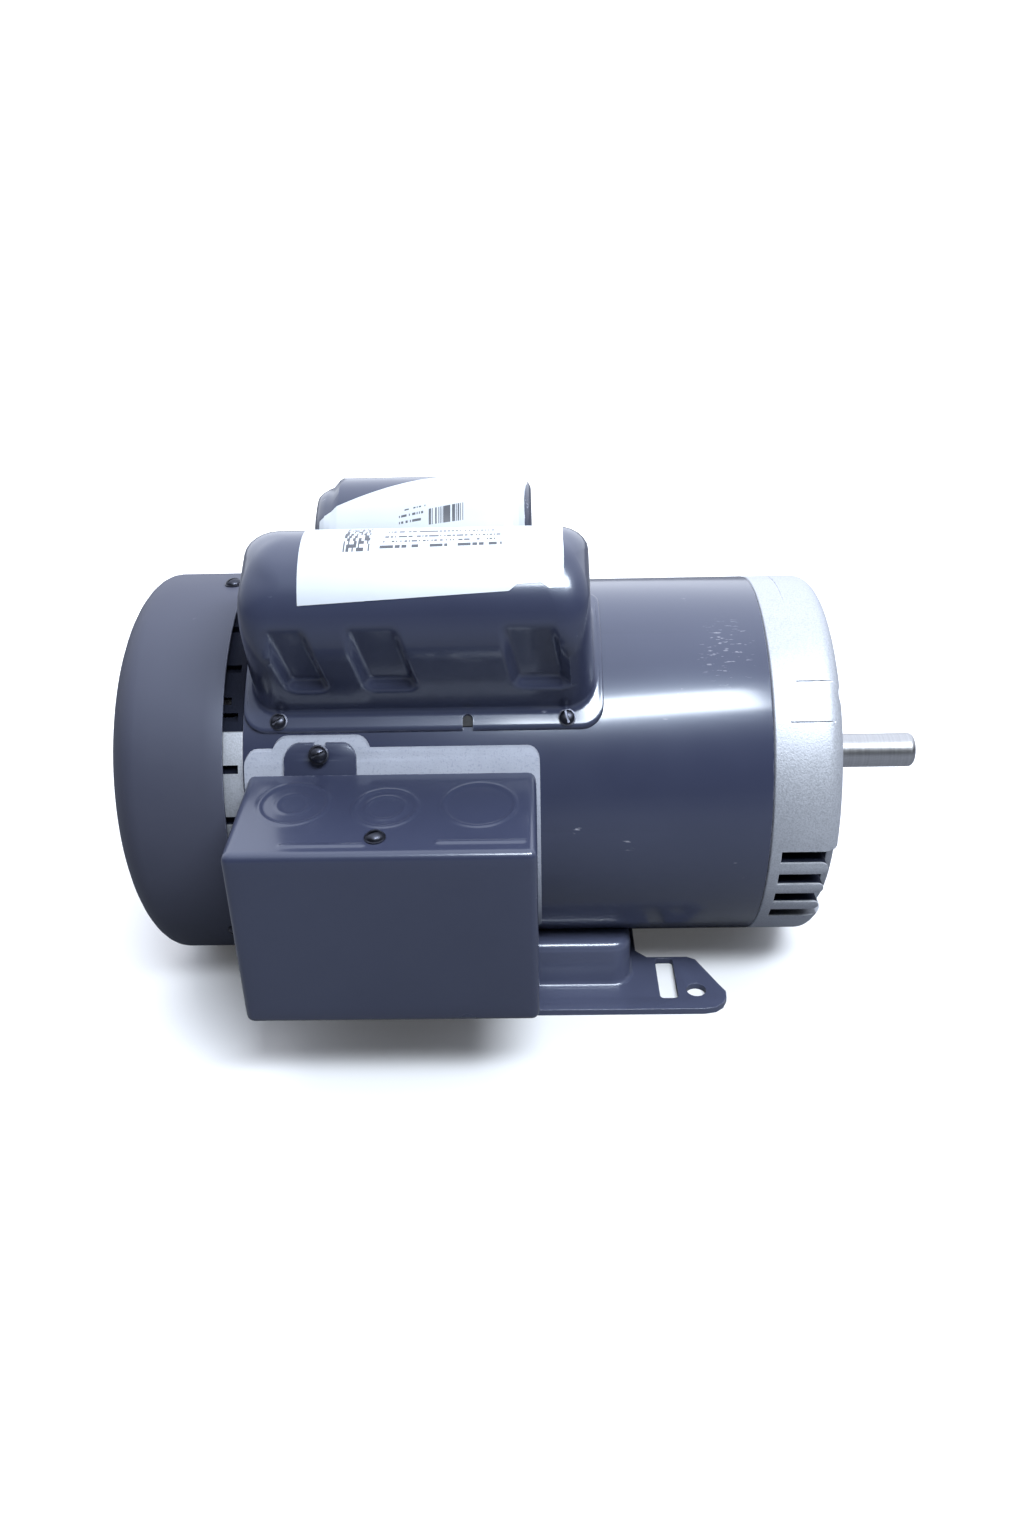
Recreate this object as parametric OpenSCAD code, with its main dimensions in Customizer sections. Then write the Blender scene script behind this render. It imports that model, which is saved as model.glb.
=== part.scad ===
// Fan-cooled single-phase motor with a rigid foot, a C face and two capacitors.
// Origin: centre of the foot bolt pattern, on the underside of the foot.
// +X runs along the shaft to the drive end, +Z is up, the conduit box is on the -Y side.

/* [Shaft and mounting] */
// Height of the shaft axis over the foot plane
shaft_height = 88.9; // [87:0.1:120]
// Diameter of the shaft extension
extension_d = 15.875; // [12:0.005:20]
// Length of the shaft extension from the mounting face
extension_length = 52.3; // [40:0.1:70]
// Width of the keyway
key_width = 4.7625; // [3:0.0005:5]
// Length of the keyway
key_length = 35.8; // [20:0.1:40]
// Bolt circle of the tapped holes in the mounting face
face_bolt_circle = 149.2; // [146:0.1:152]
// Radius of each tapped hole, at the thread's crest
face_hole_r = 4.76; // [3:0.01:5]
// Radius of the raised locating rabbet
rabbet_r = 57.15; // [50:0.01:60]
// Height of the locating rabbet
rabbet_height = 4.1; // [2:0.1:6]

/* [Foot] */
// Distance between the round foot holes along the shaft
foot_hole_x = 127; // [120:0.1:132]
// Distance between the round foot holes across the shaft
foot_hole_y = 139.7; // [134:0.1:144]
// Radius of the round foot holes
foot_hole_r = 4.4; // [3:0.1:5]
// Distance between the slots along the shaft
foot_slot_x = 101.6; // [99:0.1:104]
// Distance between the slots' centres across the shaft
foot_slot_y = 122; // [119:0.1:125]
// Length of a slot
foot_slot_length = 28.7; // [15:0.1:30]
// Width of a slot
foot_slot_width = 8.3; // [6:0.1:9]
// Thickness of the foot's sheet
foot_sheet = 3.2; // [2:0.1:3.9]
// Half length of the raised saddles that carry the shell
saddle_half = 34; // [25:1:38]

/* [Shell] */
// Outer radius of the rolled shell
shell_r = 82.5; // [81:0.1:84]
// Length of the shell
shell_length = 216; // [212:1:270]
// Thickness of the shell
shell_wall = 1.6; // [1.2:0.1:2.4]
// Distance from the foot centre to the shell's drive edge
shell_front = 88; // [80:1:100]
// Length of the laminated core
core_length = 100; // [70:1:105]
// Radius of the stator bore
bore_r = 43.9; // [43.8:0.1:44.2]
// Number of stator slots
slot_count = 36; // [24:12:36]
// Number of bars in the rotor cage
bar_count = 30; // [20:2:34]
// Air gap between the rotor and the stator
air_gap = 0.4; // [0.3:0.05:0.6]

/* [End bells] */
// Length of the drive end bell that shows past the shell
bell_length = 29.3; // [27:0.1:34]
// Radius of the bell's outer corner
bell_corner = 7.5; // [4:0.5:8]
// Height of a cooling gap and of the fin under it
fin_height = 6; // [4:0.5:6]
// Number of cooling gaps on each side
fin_count = 4; // [2:1:4]
// Length of the rear bell's rim
rear_rim = 15; // [12:1:18]
// Number of notches round the rear bell's rim
rim_notches = 24; // [12:12:24]

/* [Fan and fan cover] */
// Outer radius of the fan cover
fan_cover_r = 88; // [87.4:0.1:88.4]
// Thickness of the fan cover
fan_cover_wall = 1.2; // [0.8:0.1:1.6]
// Gap between the shell's rear edge and the fan cover's rim
fan_cover_gap = 6.9; // [4:0.1:9]
// Length of the fan cover
fan_cover_length = 54.1; // [50:0.1:65]
// Radius of the fan
fan_r = 70; // [50:1:74]
// Number of fan blades
blade_count = 9; // [5:1:11]

/* [Bearings] */
// Bore radius of the drive end bearing
drive_bore_r = 12.5; // [12:0.5:12.5]
// Bore radius of the rear bearing
rear_bore_r = 8.5; // [8:0.5:8.5]

/* [Capacitor covers] */
// Angle of each cover from the vertical
cover_tilt = 29; // [28:0.5:32]
// Width of a cover's body
cover_width = 58; // [54:1:60]
// Height of the near cover's crown over the shaft axis
near_cover_top = 141; // [136:0.5:150]
// Height of the far cover's crown over the shaft axis
far_cover_top = 130; // [127:0.5:140]
// Length of the near cover's flange
near_cover_length = 147; // [140:1:160]
// Length of the far cover's flange
far_cover_length = 116; // [100:1:130]
// Thickness of the covers' sheet
cover_wall = 1; // [0.8:0.1:1.4]
// Width of a cover's flange, measured square to the cover
flange_width = 72; // [70:0.5:74]

/* [Conduit box] */
// Length of the box along the shaft
box_length = 117; // [110:1:140]
// Distance from the shaft axis to the box's front face
box_depth = 132.7; // [125:0.1:155]
// Height of the box's front edge over the shaft axis
box_top = 30.2; // [28:0.1:34]
// Depth of the box's floor under the shaft axis
box_bottom = 48.9; // [44:0.1:56]
// Thickness of the box's sheet
box_wall = 1.5; // [1:0.1:2]
// Slope of the box's roof
roof_slope = 5; // [2:0.5:6]

/* [Hidden] */
$fn = 48;

// Clearances
fit_gap = 0.05;      // parts pressed together
wide_fit = 0.12;     // wide parts pressed together, and labels on their covers
running_gap = 0.08;  // a shaft in its seal, a collar on its shaft
seat_gap = 0.3;      // curved faces that lie on each other
past = 1;            // how far a cutter runs past the face it cuts

// Colours
enamel = [0.30, 0.32, 0.41];
aluminium = [0.80, 0.81, 0.83];
steel = [0.62, 0.62, 0.63];
bright_steel = [0.75, 0.75, 0.76];
lamination = [0.42, 0.42, 0.44];
copper = [0.72, 0.40, 0.20];
varnish = [0.55, 0.25, 0.12];
black = [0.08, 0.08, 0.09];
phenolic = [0.45, 0.28, 0.14];
foam = [0.70, 0.71, 0.73];
paper = [0.93, 0.95, 0.98];
zinc = [0.35, 0.35, 0.38];

// Stations along the shaft
shell_rear = shell_front - shell_length;
face_x = shell_front + bell_length;
shaft_end = face_x + extension_length;
core_front = shell_front - 53;
core_rear = core_front - core_length;
overhang = 26;
shell_inner = shell_r - shell_wall;

// Bearings: the drive one is 25 x 52 x 15, the rear one 17 x 40 x 12
drive_outer_r = drive_bore_r + 13.5;
drive_width = 15;
drive_pitch = (drive_bore_r + drive_outer_r) / 2;
drive_ball_r = 3.97;
drive_ball_count = 9;
drive_bearing_x = face_x - 21.3;
rear_outer_r = rear_bore_r + 11.5;
rear_width = 12;
rear_pitch = (rear_bore_r + rear_outer_r) / 2;
rear_ball_r = 3.37;
rear_ball_count = 8;
rear_bearing_x = shell_rear - 2;
wave_room = 1.5;

// Through bolts
bolt_r = 2.4;
bolt_circle_r = shell_inner - 4.4;
bolt_angles = [45, 135, 225, 315];

// Fan cover
fan_cover_front = shell_rear - fan_cover_gap;
fan_cover_rear = fan_cover_front - fan_cover_length;
fan_cover_inner = fan_cover_r - fan_cover_wall;
cover_screw_x = fan_cover_front - 6;
cover_screw_r = 2.2;
cover_screw_angles = [0, 120, 240];

// Shaft steps
rotor_seat_r = 14;
collar_seat_r = 11;
fan_seat_r = 7;
shaft_rear = fan_cover_front - 36;

// Capacitor covers
near_cover_x = shell_rear + 0.5;
far_cover_x = shell_rear + 15;
cover_screw_angle = 22.6;
near_notch_x = near_cover_x + 91.7;
gasket_thick = 0.8;
flange_r = shell_r + gasket_thick;
start_cap_r = 23;
start_cap_length = 105;
run_cap_r = 19;
run_cap_length = 76;

// Conduit box
box_x = shell_rear + 2.7;
box_gasket_thick = 2.6;
box_gasket_r = shell_r + seat_gap / 3;
box_base_r = box_gasket_r + box_gasket_thick;
box_mid = box_x + box_length / 2;
roof_front_z = shaft_height + box_top;
box_screw = [box_mid - 2, 122];
ear_mid = box_x + 29.7;
lead_hole_r = 11;
lead_hole_angle = 92;
lead_x = core_rear - 14.5;

// ---------- shared shapes ----------

// Points of a polygon whose corners are rounded, each by its own radius
function unit(v) = v / norm(v);
function corner(a, p, b, r, n) =
  let (u = unit(a - p), v = unit(b - p), half = acos(u * v) / 2,
       c = p + unit(u + v) * r / sin(half),
       s = p + u * r / tan(half) - c, e = p + v * r / tan(half) - c,
       a0 = atan2(s.y, s.x), turn = atan2(e.y, e.x) - a0,
       sweep = turn > 180 ? turn - 360 : turn < -180 ? turn + 360 : turn)
  [for (i = [0 : n]) c + r * [cos(a0 + sweep * i / n), sin(a0 + sweep * i / n)]];
function rounded(points, radii, n = 6) =
  [for (i = [0 : len(points) - 1])
    let (a = points[(i + len(points) - 1) % len(points)], b = points[(i + 1) % len(points)])
    each radii[i] == 0 ? [points[i]] : corner(a, points[i], b, radii[i], n)];

// A solid of revolution about the shaft axis from [x, r] points
module turned(points) {
  translate([0, 0, shaft_height])
    rotate([0, 90, 0])
      rotate_extrude($fn = 96)
        polygon([for (p = points) [p.y, p.x]]);
}

// A plain cylinder on the shaft axis
module round_bar(x0, x1, r) {
  translate([x0, 0, shaft_height])
    rotate([0, 90, 0])
      cylinder(h = x1 - x0, r = r, $fn = 96);
}

// A ring on the shaft axis
module ring(x0, x1, outer, inner) {
  difference() {
    round_bar(x0, x1, outer);
    round_bar(x0 - past, x1 + past, inner);
  }
}

// A flat section extruded along the shaft, drawn looking from the drive end
module along_shaft(x0, x1) {
  translate([x0, 0, shaft_height])
    rotate([90, 0, 90])
      linear_extrude(height = x1 - x0)
        children();
}

// Places children on the shaft axis, turned so that +Z points out at the angle;
// the angle runs from the top towards the conduit box side
module around(angle) {
  translate([0, 0, shaft_height])
    rotate([angle, 0, 0])
      children();
}

// A radial cylinder at a station and an angle
module radial_pin(x, angle, r0, r1, r) {
  around(angle)
    translate([x, 0, r0])
      cylinder(h = r1 - r0, r = r);
}

// A pan head screw standing radially
module radial_screw(x, angle, seat, r, length, head_r, head_h) {
  around(angle)
    translate([x, 0, seat])
      difference() {
        union() {
          translate([0, 0, -length])
            cylinder(h = length + head_h / 2, r = r);
          cylinder(h = head_h * 0.6, r = head_r);
          translate([0, 0, head_h * 0.6])
            cylinder(h = head_h * 0.4, r1 = head_r, r2 = head_r * 0.55);
        }
        translate([-head_r, -0.5, head_h * 0.55])
          cube([2 * head_r, 1, head_h]);
      }
}

// ---------- stator ----------

module stator_shell() {
  color(enamel)
    difference() {
      ring(shell_rear, shell_front, shell_r, shell_inner);
      radial_pin(lead_x, lead_hole_angle, shell_inner - past, shell_r + past, lead_hole_r);
      for (side = [1, -1])
        radial_pin(near_cover_x + 40, side * cover_tilt, shell_inner - past, shell_r + past, 7);
      cover_screw_holes(shell_inner - past, shell_r + past);
      radial_pin(ear_mid, 61, shell_inner - past, shell_r + past, ear_screw_r + seat_gap);
    }
}

slot_bottom = 64;
slot_top = 46.2;
slot_width = 0.56 * 2 * PI * slot_top / slot_count;
slot_mouth = 2.2;
coil_split = 54;

module slot_shapes(r0, r1, width) {
  for (i = [0 : slot_count - 1])
    rotate(i * 360 / slot_count)
      translate([r0, -width / 2])
        square([r1 - r0, width]);
}

module stator_core() {
  color(lamination)
    along_shaft(core_rear, core_front)
      difference() {
        circle(r = shell_inner - wide_fit, $fn = 96);
        circle(r = bore_r, $fn = 96);
        slot_shapes(slot_top, slot_bottom, slot_width);
        slot_shapes(bore_r - past, slot_top + past, slot_mouth);
        for (a = bolt_angles)
          rotate(a)
            translate([bolt_circle_r - 3.4, -3.4])
              square([9, 6.8]);
      }
}

// A coil set: bars in the slots and a bound end turn at each end
module coil(r0, r1, turn_r0, turn_r1, turn_length) {
  width = slot_width - 2 * seat_gap / 2;
  reach = 3;
  along_shaft(core_rear - reach, core_front + reach)
    slot_shapes(r0, r1, width);
  for (side = [0, 1]) {
    x0 = side == 0 ? core_rear - 1 - turn_length : core_front + 1;
    turned(rounded([[x0, turn_r0], [x0 + turn_length, turn_r0],
                    [x0 + turn_length, turn_r1], [x0, turn_r1]], [3, 3, 3, 3], 4));
  }
}

module main_winding() {
  color(copper)
    coil(coil_split + 0.3, slot_bottom - 0.3, coil_split + 1.5, 73, overhang - 1);
}

module start_winding() {
  color(varnish)
    coil(slot_top + 0.3, coil_split - 0.3, slot_top + 0.8, coil_split - 0.4, overhang - 6);
}

module slot_wedges() {
  color(phenolic)
    along_shaft(core_rear - 2, core_front + 2)
      slot_shapes(bore_r + 0.5, slot_top - 0.2, slot_mouth - 0.2);
}

// ---------- rotor ----------

rotor_r = bore_r - air_gap;
bar_r = 2.2;
bar_circle = rotor_r - 4;

module bar_circles(r) {
  for (i = [0 : bar_count - 1])
    rotate(i * 360 / bar_count)
      translate([bar_circle, 0])
        circle(r = r);
}

module rotor_core() {
  color(lamination)
    along_shaft(core_rear, core_front)
      difference() {
        circle(r = rotor_r, $fn = 96);
        circle(r = rotor_seat_r + fit_gap, $fn = 96);
        bar_circles(bar_r + fit_gap);
      }
}

cage_ring = 7;
cage_blade = 9;

module rotor_cage() {
  color(aluminium)
    union() {
      along_shaft(core_rear - 1, core_front + 1)
        bar_circles(bar_r);
      ring(core_rear - cage_ring, core_rear, rotor_r - 0.5, 30);
      ring(core_front, core_front + cage_ring, rotor_r - 0.5, 30);
      for (i = [0 : 7]) {
        around(i * 45)
          translate([core_front + cage_ring - past, -1.5, 31])
            cube([cage_blade, 3, 11]);
        around(i * 45)
          translate([core_rear - cage_ring + past - cage_blade, -1.5, 31])
            cube([cage_blade, 3, 11]);
      }
    }
}

key_depth = key_width / 2;
keyway_end = shaft_end - 2;
journal_step = 1;
journal_r = extension_d / 2 + journal_step;
journal_end = face_x + rabbet_height - 0.4;

module shaft() {
  ext_r = extension_d / 2;
  drive_seat = drive_bearing_x;
  rear_seat = rear_bearing_x;
  color(steel)
    difference() {
      turned([[shaft_rear, 0], [shaft_rear, fan_seat_r - 1], [shaft_rear + 1, fan_seat_r],
              [rear_seat - wave_room, fan_seat_r], [rear_seat - wave_room, rear_bore_r],
              [rear_seat + rear_width, rear_bore_r], [rear_seat + rear_width, collar_seat_r],
              [governor_x - 1, collar_seat_r], [governor_x - 1, rotor_seat_r],
              [drive_seat, rotor_seat_r], [drive_seat, drive_bore_r],
              [drive_seat + drive_width, drive_bore_r], [drive_seat + drive_width, journal_r],
              [journal_end, journal_r], [journal_end, ext_r],
              [shaft_end - 1.5, ext_r], [shaft_end, ext_r - 1.5], [shaft_end, 0]]);
      around(235)
        translate([keyway_end - key_length, -key_width / 2, ext_r - key_depth])
          cube([key_length + 2 + past, key_width, key_depth + past]);
    }
}

// ---------- end bells ----------

spigot = 8;
bell_inner = 68;
pocket_r = 72;
hub_wall = 6;
boss_step = 0.6;
rabbet_x = face_x + rabbet_height;
seal_bore_r = 14;

module bell_body() {
  turned(rounded([[shell_front - spigot, 75.5], [shell_front - spigot, shell_inner - fit_gap],
                  [shell_front, shell_inner - fit_gap], [shell_front, shell_r],
                  [face_x, shell_r], [face_x, rabbet_r], [rabbet_x, rabbet_r],
                  [rabbet_x, seal_bore_r], [face_x - 6.1, seal_bore_r],
                  [face_x - 6.1, drive_outer_r + fit_gap],
                  [drive_bearing_x - 2, drive_outer_r + fit_gap],
                  [drive_bearing_x - 2, drive_outer_r + hub_wall],
                  [face_x - 9.3, drive_outer_r + hub_wall],
                  [face_x - 9.3, bell_inner], [shell_front + 8, bell_inner],
                  [shell_front + 6, 75.5]],
                 [0, 0, 0, 0, bell_corner, 0, 0, 0, 0, 0, 0, 0, 3, 3, 0, 0], 8));
}

fin_top = shaft_height - 3.3;
fin_pitch = 2 * fin_height;
fin_start = shell_front + 5;
fin_end = face_x - 4.3;

// The cooling gaps on one side of the drive end bell
module bell_gaps(side) {
  reach = 20;
  intersection() {
    union() {
      for (i = [0 : fin_count - 1])
        translate([fin_start, side * (shell_r - reach), fin_top - i * fin_pitch - fin_height])
          translate([0, side > 0 ? -reach : 0, 0])
            mirror([0, side > 0 ? 0 : 1, 0])
              cube([bell_length + 10, 3 * reach, fin_height]);
      translate([fin_end, side > 0 ? 0 : -shell_r - past,
                 fin_top - (fin_count - 1) * fin_pitch - fin_height])
        cube([20, shell_r + past, (fin_count - 1) * fin_pitch + fin_height]);
    }
    ring(fin_start - past, face_x + 20, shell_r + 10, pocket_r);
  }
}

module drive_end_bell() {
  color(aluminium)
    difference() {
      union() {
        bell_body();
        for (i = [0 : 7])
          around(22.5 + i * 45)
            translate([drive_bearing_x + 1, -2, drive_outer_r + hub_wall - past])
              cube([face_x - 9.3 + past - drive_bearing_x - 1, 4,
                    bell_inner - drive_outer_r - hub_wall + 2 * past]);
        for (a = bolt_angles)
          around(a)
            translate([shell_front - spigot + boss_step, 0, bolt_circle_r - 1.5])
              rotate([0, 90, 0])
                cylinder(h = spigot + 7 - boss_step, r = 5.8);
      }
      for (a = bolt_angles) {
        around(a)
          translate([shell_front - spigot - past, 0, bolt_circle_r])
            rotate([0, 90, 0])
              cylinder(h = spigot + past + 4, r = bolt_r + fit_gap);
        around(a)
          translate([face_x - 17.3, 0, face_bolt_circle / 2])
            rotate([0, 90, 0])
              cylinder(h = 17.3 + past, r = face_hole_r);
      }
      bell_gaps(1);
      bell_gaps(-1);
    }
}

module shaft_seal() {
  color(black)
    turned([[face_x - 6.1 + 0.4, seal_bore_r - fit_gap], [face_x + 0.9, seal_bore_r - fit_gap],
            [face_x + 0.9, journal_r + running_gap], [face_x - 1.1, journal_r + running_gap],
            [face_x - 1.1, journal_r + 2.5], [face_x - 5.7, journal_r + 2.5]]);
}

rear_web = shell_rear - 5;
rear_face = shell_rear - rear_rim;
hub_rear = rear_bearing_x - wave_room - 3.5;

module rear_end_bell() {
  color(aluminium)
    difference() {
      union() {
        turned([[shell_rear + spigot, 75.5], [shell_rear + spigot, shell_inner - fit_gap],
                [shell_rear, shell_inner - fit_gap], [shell_rear, shell_r],
                [rear_face, shell_r], [rear_face, 76], [rear_web, 74],
                [rear_web, rear_outer_r + hub_wall], [hub_rear, rear_outer_r + hub_wall],
                [hub_rear, rear_bore_r + 1], [rear_bearing_x - wave_room, rear_bore_r + 1],
                [rear_bearing_x - wave_room, rear_outer_r + fit_gap],
                [rear_bearing_x + rear_width, rear_outer_r + fit_gap],
                [rear_bearing_x + rear_width, rear_outer_r + hub_wall],
                [shell_rear, rear_outer_r + hub_wall], [shell_rear, 72]]);
        for (i = [0 : 7])
          around(22.5 + i * 45)
            translate([rear_face + 3, -2, rear_outer_r + hub_wall - past])
              cube([rear_web - rear_face - 3 + past, 4, 76.5 - rear_outer_r - hub_wall]);
        for (a = cover_screw_angles)
          around(a)
            translate([cover_screw_x - 5, -7, shell_r - 8])
              cube([10, 14, fan_cover_inner - shell_r + 8 - 2]);
        for (a = cover_screw_angles)
          radial_pin(cover_screw_x, a, shell_r - 8, fan_cover_inner - seat_gap, 5);
      }
      for (a = bolt_angles)
        around(a)
          translate([rear_face - past, 0, bolt_circle_r])
            rotate([0, 90, 0]) {
              cylinder(h = rear_rim + spigot + 2 * past, r = bolt_r + 0.2);
              cylinder(h = rear_rim - 5 + past, r = 6.2);
            }
      for (a = cover_screw_angles)
        radial_pin(cover_screw_x, a, shell_r - 8 - past, fan_cover_r, cover_screw_r + fit_gap);
      for (i = [0 : rim_notches - 1])
        around((i + 0.32) * 360 / rim_notches)
          translate([rear_face - past, -1.8, shell_r - 3.5])
            cube([rear_rim - 1, 3.6, 5]);
    }
}

module through_bolts() {
  head_x = shell_rear - 5 - 4;
  color(zinc)
    for (a = bolt_angles)
      around(a)
        translate([head_x, 0, bolt_circle_r])
          rotate([0, 90, 0])
            union() {
              cylinder(h = 4, r = 4.6, $fn = 6);
              translate([0, 0, 2])
                cylinder(h = shell_front + 2 - head_x - 2, r = bolt_r);
            }
}

// ---------- bearings ----------

module race(x, width, r_land, r_seat, pitch, ball_r) {
  groove = ball_r * 1.04;
  translate([x, 0, shaft_height])
    rotate([0, 90, 0])
      rotate_extrude($fn = 96)
        difference() {
          translate([min(r_land, r_seat), 0])
            square([abs(r_seat - r_land), width]);
          translate([pitch, width / 2])
            circle(r = groove, $fn = 48);
        }
}

module ball_set(x, width, pitch, ball_r, count) {
  for (i = [0 : count - 1])
    around(i * 360 / count)
      translate([x + width / 2, 0, pitch])
        sphere(r = ball_r, $fn = 32);
}

module ball_cage(x, width, pitch, ball_r, count) {
  side = ball_r + 1.2;
  difference() {
    ring(x + width / 2 - side, x + width / 2 + side, pitch + 1.1, pitch - 1.1);
    ball_set(x, width, pitch, ball_r + 0.2, count);
  }
}

module shields(x, width, r_out, r_in) {
  for (dx = [0.3, width - 1.1])
    ring(x + dx, x + dx + 0.8, r_out - fit_gap, r_in + seat_gap);
}

drive_land_in = drive_pitch - 0.48 * 2 * drive_ball_r;
drive_land_out = drive_pitch + 0.48 * 2 * drive_ball_r;
rear_land_in = rear_pitch - 0.4 * 2 * rear_ball_r;
rear_land_out = rear_pitch + 0.4 * 2 * rear_ball_r;

module drive_bearing_outer_race() {
  color(bright_steel)
    race(drive_bearing_x, drive_width, drive_land_out, drive_outer_r, drive_pitch, drive_ball_r);
}
module drive_bearing_inner_race() {
  color(bright_steel)
    race(drive_bearing_x, drive_width, drive_land_in, drive_bore_r + fit_gap, drive_pitch,
         drive_ball_r);
}
module drive_bearing_balls() {
  color(bright_steel)
    ball_set(drive_bearing_x, drive_width, drive_pitch, drive_ball_r, drive_ball_count);
}
module drive_bearing_cage() {
  color(steel)
    ball_cage(drive_bearing_x, drive_width, drive_pitch, drive_ball_r, drive_ball_count);
}
module drive_bearing_shields() {
  color(steel)
    shields(drive_bearing_x, drive_width, drive_land_out, drive_land_in);
}
module rear_bearing_outer_race() {
  color(bright_steel)
    race(rear_bearing_x, rear_width, rear_land_out, rear_outer_r, rear_pitch, rear_ball_r);
}
module rear_bearing_inner_race() {
  color(bright_steel)
    race(rear_bearing_x, rear_width, rear_land_in, rear_bore_r + fit_gap, rear_pitch,
         rear_ball_r);
}
module rear_bearing_balls() {
  color(bright_steel)
    ball_set(rear_bearing_x, rear_width, rear_pitch, rear_ball_r, rear_ball_count);
}
module rear_bearing_cage() {
  color(steel)
    ball_cage(rear_bearing_x, rear_width, rear_pitch, rear_ball_r, rear_ball_count);
}
module rear_bearing_shields() {
  color(steel)
    shields(rear_bearing_x, rear_width, rear_land_out, rear_land_in);
}

// A three-wave washer that loads the rear bearing
wave_steps = 48;
wave_sheet = 0.4;
wave_height = wave_room - wave_sheet - 2 * fit_gap;
function wave_x(i) = rear_bearing_x - wave_room + fit_gap
  + wave_height / 2 * (1 + sin(3 * i * 360 / wave_steps));
function wave_point(i, r, dx) =
  [wave_x(i) + dx, r * sin(i * 360 / wave_steps), shaft_height + r * cos(i * 360 / wave_steps)];

module bearing_wave_spring() {
  inner = rear_outer_r - 4.5;
  outer = rear_outer_r - seat_gap;
  points = [for (i = [0 : wave_steps - 1])
    each [wave_point(i, inner, 0), wave_point(i, outer, 0),
          wave_point(i, outer, wave_sheet), wave_point(i, inner, wave_sheet)]];
  faces = [for (i = [0 : wave_steps - 1]) for (k = [0 : 3])
    let (a = 4 * i + k, b = 4 * i + (k + 1) % 4, n = 4 * wave_steps,
         c = (4 * i + 4 + (k + 1) % 4) % n, d = (4 * i + 4 + k) % n)
    each [[a, b, c], [a, c, d]]];
  color(steel)
    polyhedron(points = points, faces = faces);
}

// ---------- fan ----------

fan_front = fan_cover_front - 10;
fan_hub_length = 22;

module cooling_fan() {
  hub_r = 14;
  color(black)
    union() {
      ring(fan_front - fan_hub_length, fan_front, hub_r, fan_seat_r + fit_gap);
      ring(fan_front - 3, fan_front, fan_r - 8, hub_r - past);
      for (i = [0 : blade_count - 1])
        around(i * 360 / blade_count)
          translate([fan_front - fan_hub_length, -1.25, hub_r - past])
            cube([fan_hub_length - past, 2.5, fan_r - hub_r + past]);
    }
}

module fan_clip() {
  x = fan_front - fan_hub_length - 1.5;
  color(zinc)
    difference() {
      ring(x, x + 1.4, 11, fan_seat_r + fit_gap);
      around(0)
        translate([x - past, -1.5, fan_seat_r - 1])
          cube([1.4 + 2 * past, 3, 6]);
    }
}

grille_slot = 3.6;
grille_rings = 5;
crown_r = 46;

// Half profile of the fan cover, as [x, r] points: a straight skirt and an elliptical shoulder
function bowl(front, rear, r, flat_r, depth) =
  concat([[front, 0], [front, r]],
         [for (t = [0 : 10 : 90])
           [rear + depth * (1 - sin(t)), flat_r + (r - flat_r) * cos(t)]],
         [[rear, 0]]);

module fan_cover() {
  depth = 18;
  color(enamel)
    difference() {
      turned(bowl(fan_cover_front, fan_cover_rear, fan_cover_r, crown_r, depth));
      turned(bowl(fan_cover_front + past, fan_cover_rear + fan_cover_wall, fan_cover_inner,
                  crown_r - 0.5, depth - 0.4));
      for (a = cover_screw_angles)
        radial_pin(cover_screw_x, a, fan_cover_inner - 3, fan_cover_r + 3, cover_screw_r + 0.2);
      for (i = [1 : grille_rings])
        intersection() {
          ring(fan_cover_rear - past, fan_cover_rear + 4, i * 8.4 + grille_slot / 2,
               i * 8.4 - grille_slot / 2);
          for (k = [0 : 5])
            around(k * 60 + (i % 2) * 30)
              translate([fan_cover_rear - past, 0, 0])
                rotate([0, 90, 0])
                  linear_extrude(height = 6)
                    polygon([[0, 0], [-60, -26], [-60, 26]]);
        }
    }
}

module fan_cover_screws() {
  color(zinc)
    for (a = cover_screw_angles)
      radial_screw(cover_screw_x, a, fan_cover_r + 0.02, cover_screw_r, 8, 4, 2.6);
}

// ---------- centrifugal governor and starting switch ----------

governor_x = core_rear - 12;
hub_plate = 2;
weight_length = 12;
weight_inner = 20;
weight_outer = 27;
weight_pin_r = 1.5;
weight_pin_at = 24.5;
weight_pin_x = governor_x - 6;
weight_half = 16;
collar_x = governor_x - 22;

module governor_hub() {
  color(zinc)
    difference() {
      union() {
        ring(governor_x - 10, governor_x - 1, 15, collar_seat_r + fit_gap);
        ring(governor_x - 1 - hub_plate, governor_x - 1, 30, collar_seat_r + fit_gap);
        for (side = [0, 180])
          around(side + 90)
            for (y = [-weight_half - 2.5, weight_half + 0.5])
              translate([governor_x - 8.5, y, 18])
                cube([6.5, 2, 9]);
        for (side = [0, 180])
          around(side + 90)
            translate([weight_pin_x, weight_half + 1, weight_pin_at])
              rotate([90, 0, 0])
                cylinder(h = 2 * weight_half + 2, r = weight_pin_r);
      }
    }
}

// A swinging weight on the hub's pin
module governor_weight(side) {
  color(steel)
    around(side + 90)
      difference() {
        translate([weight_pin_x + 2.4 - weight_length, -weight_half, weight_inner])
          cube([weight_length, 2 * weight_half, weight_outer - weight_inner]);
        translate([weight_pin_x, weight_half + 2, weight_pin_at])
          rotate([90, 0, 0])
            cylinder(h = 2 * weight_half + 4, r = weight_pin_r + running_gap);
      }
}

module governor_weight_near() governor_weight(0);
module governor_weight_far() governor_weight(180);

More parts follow.
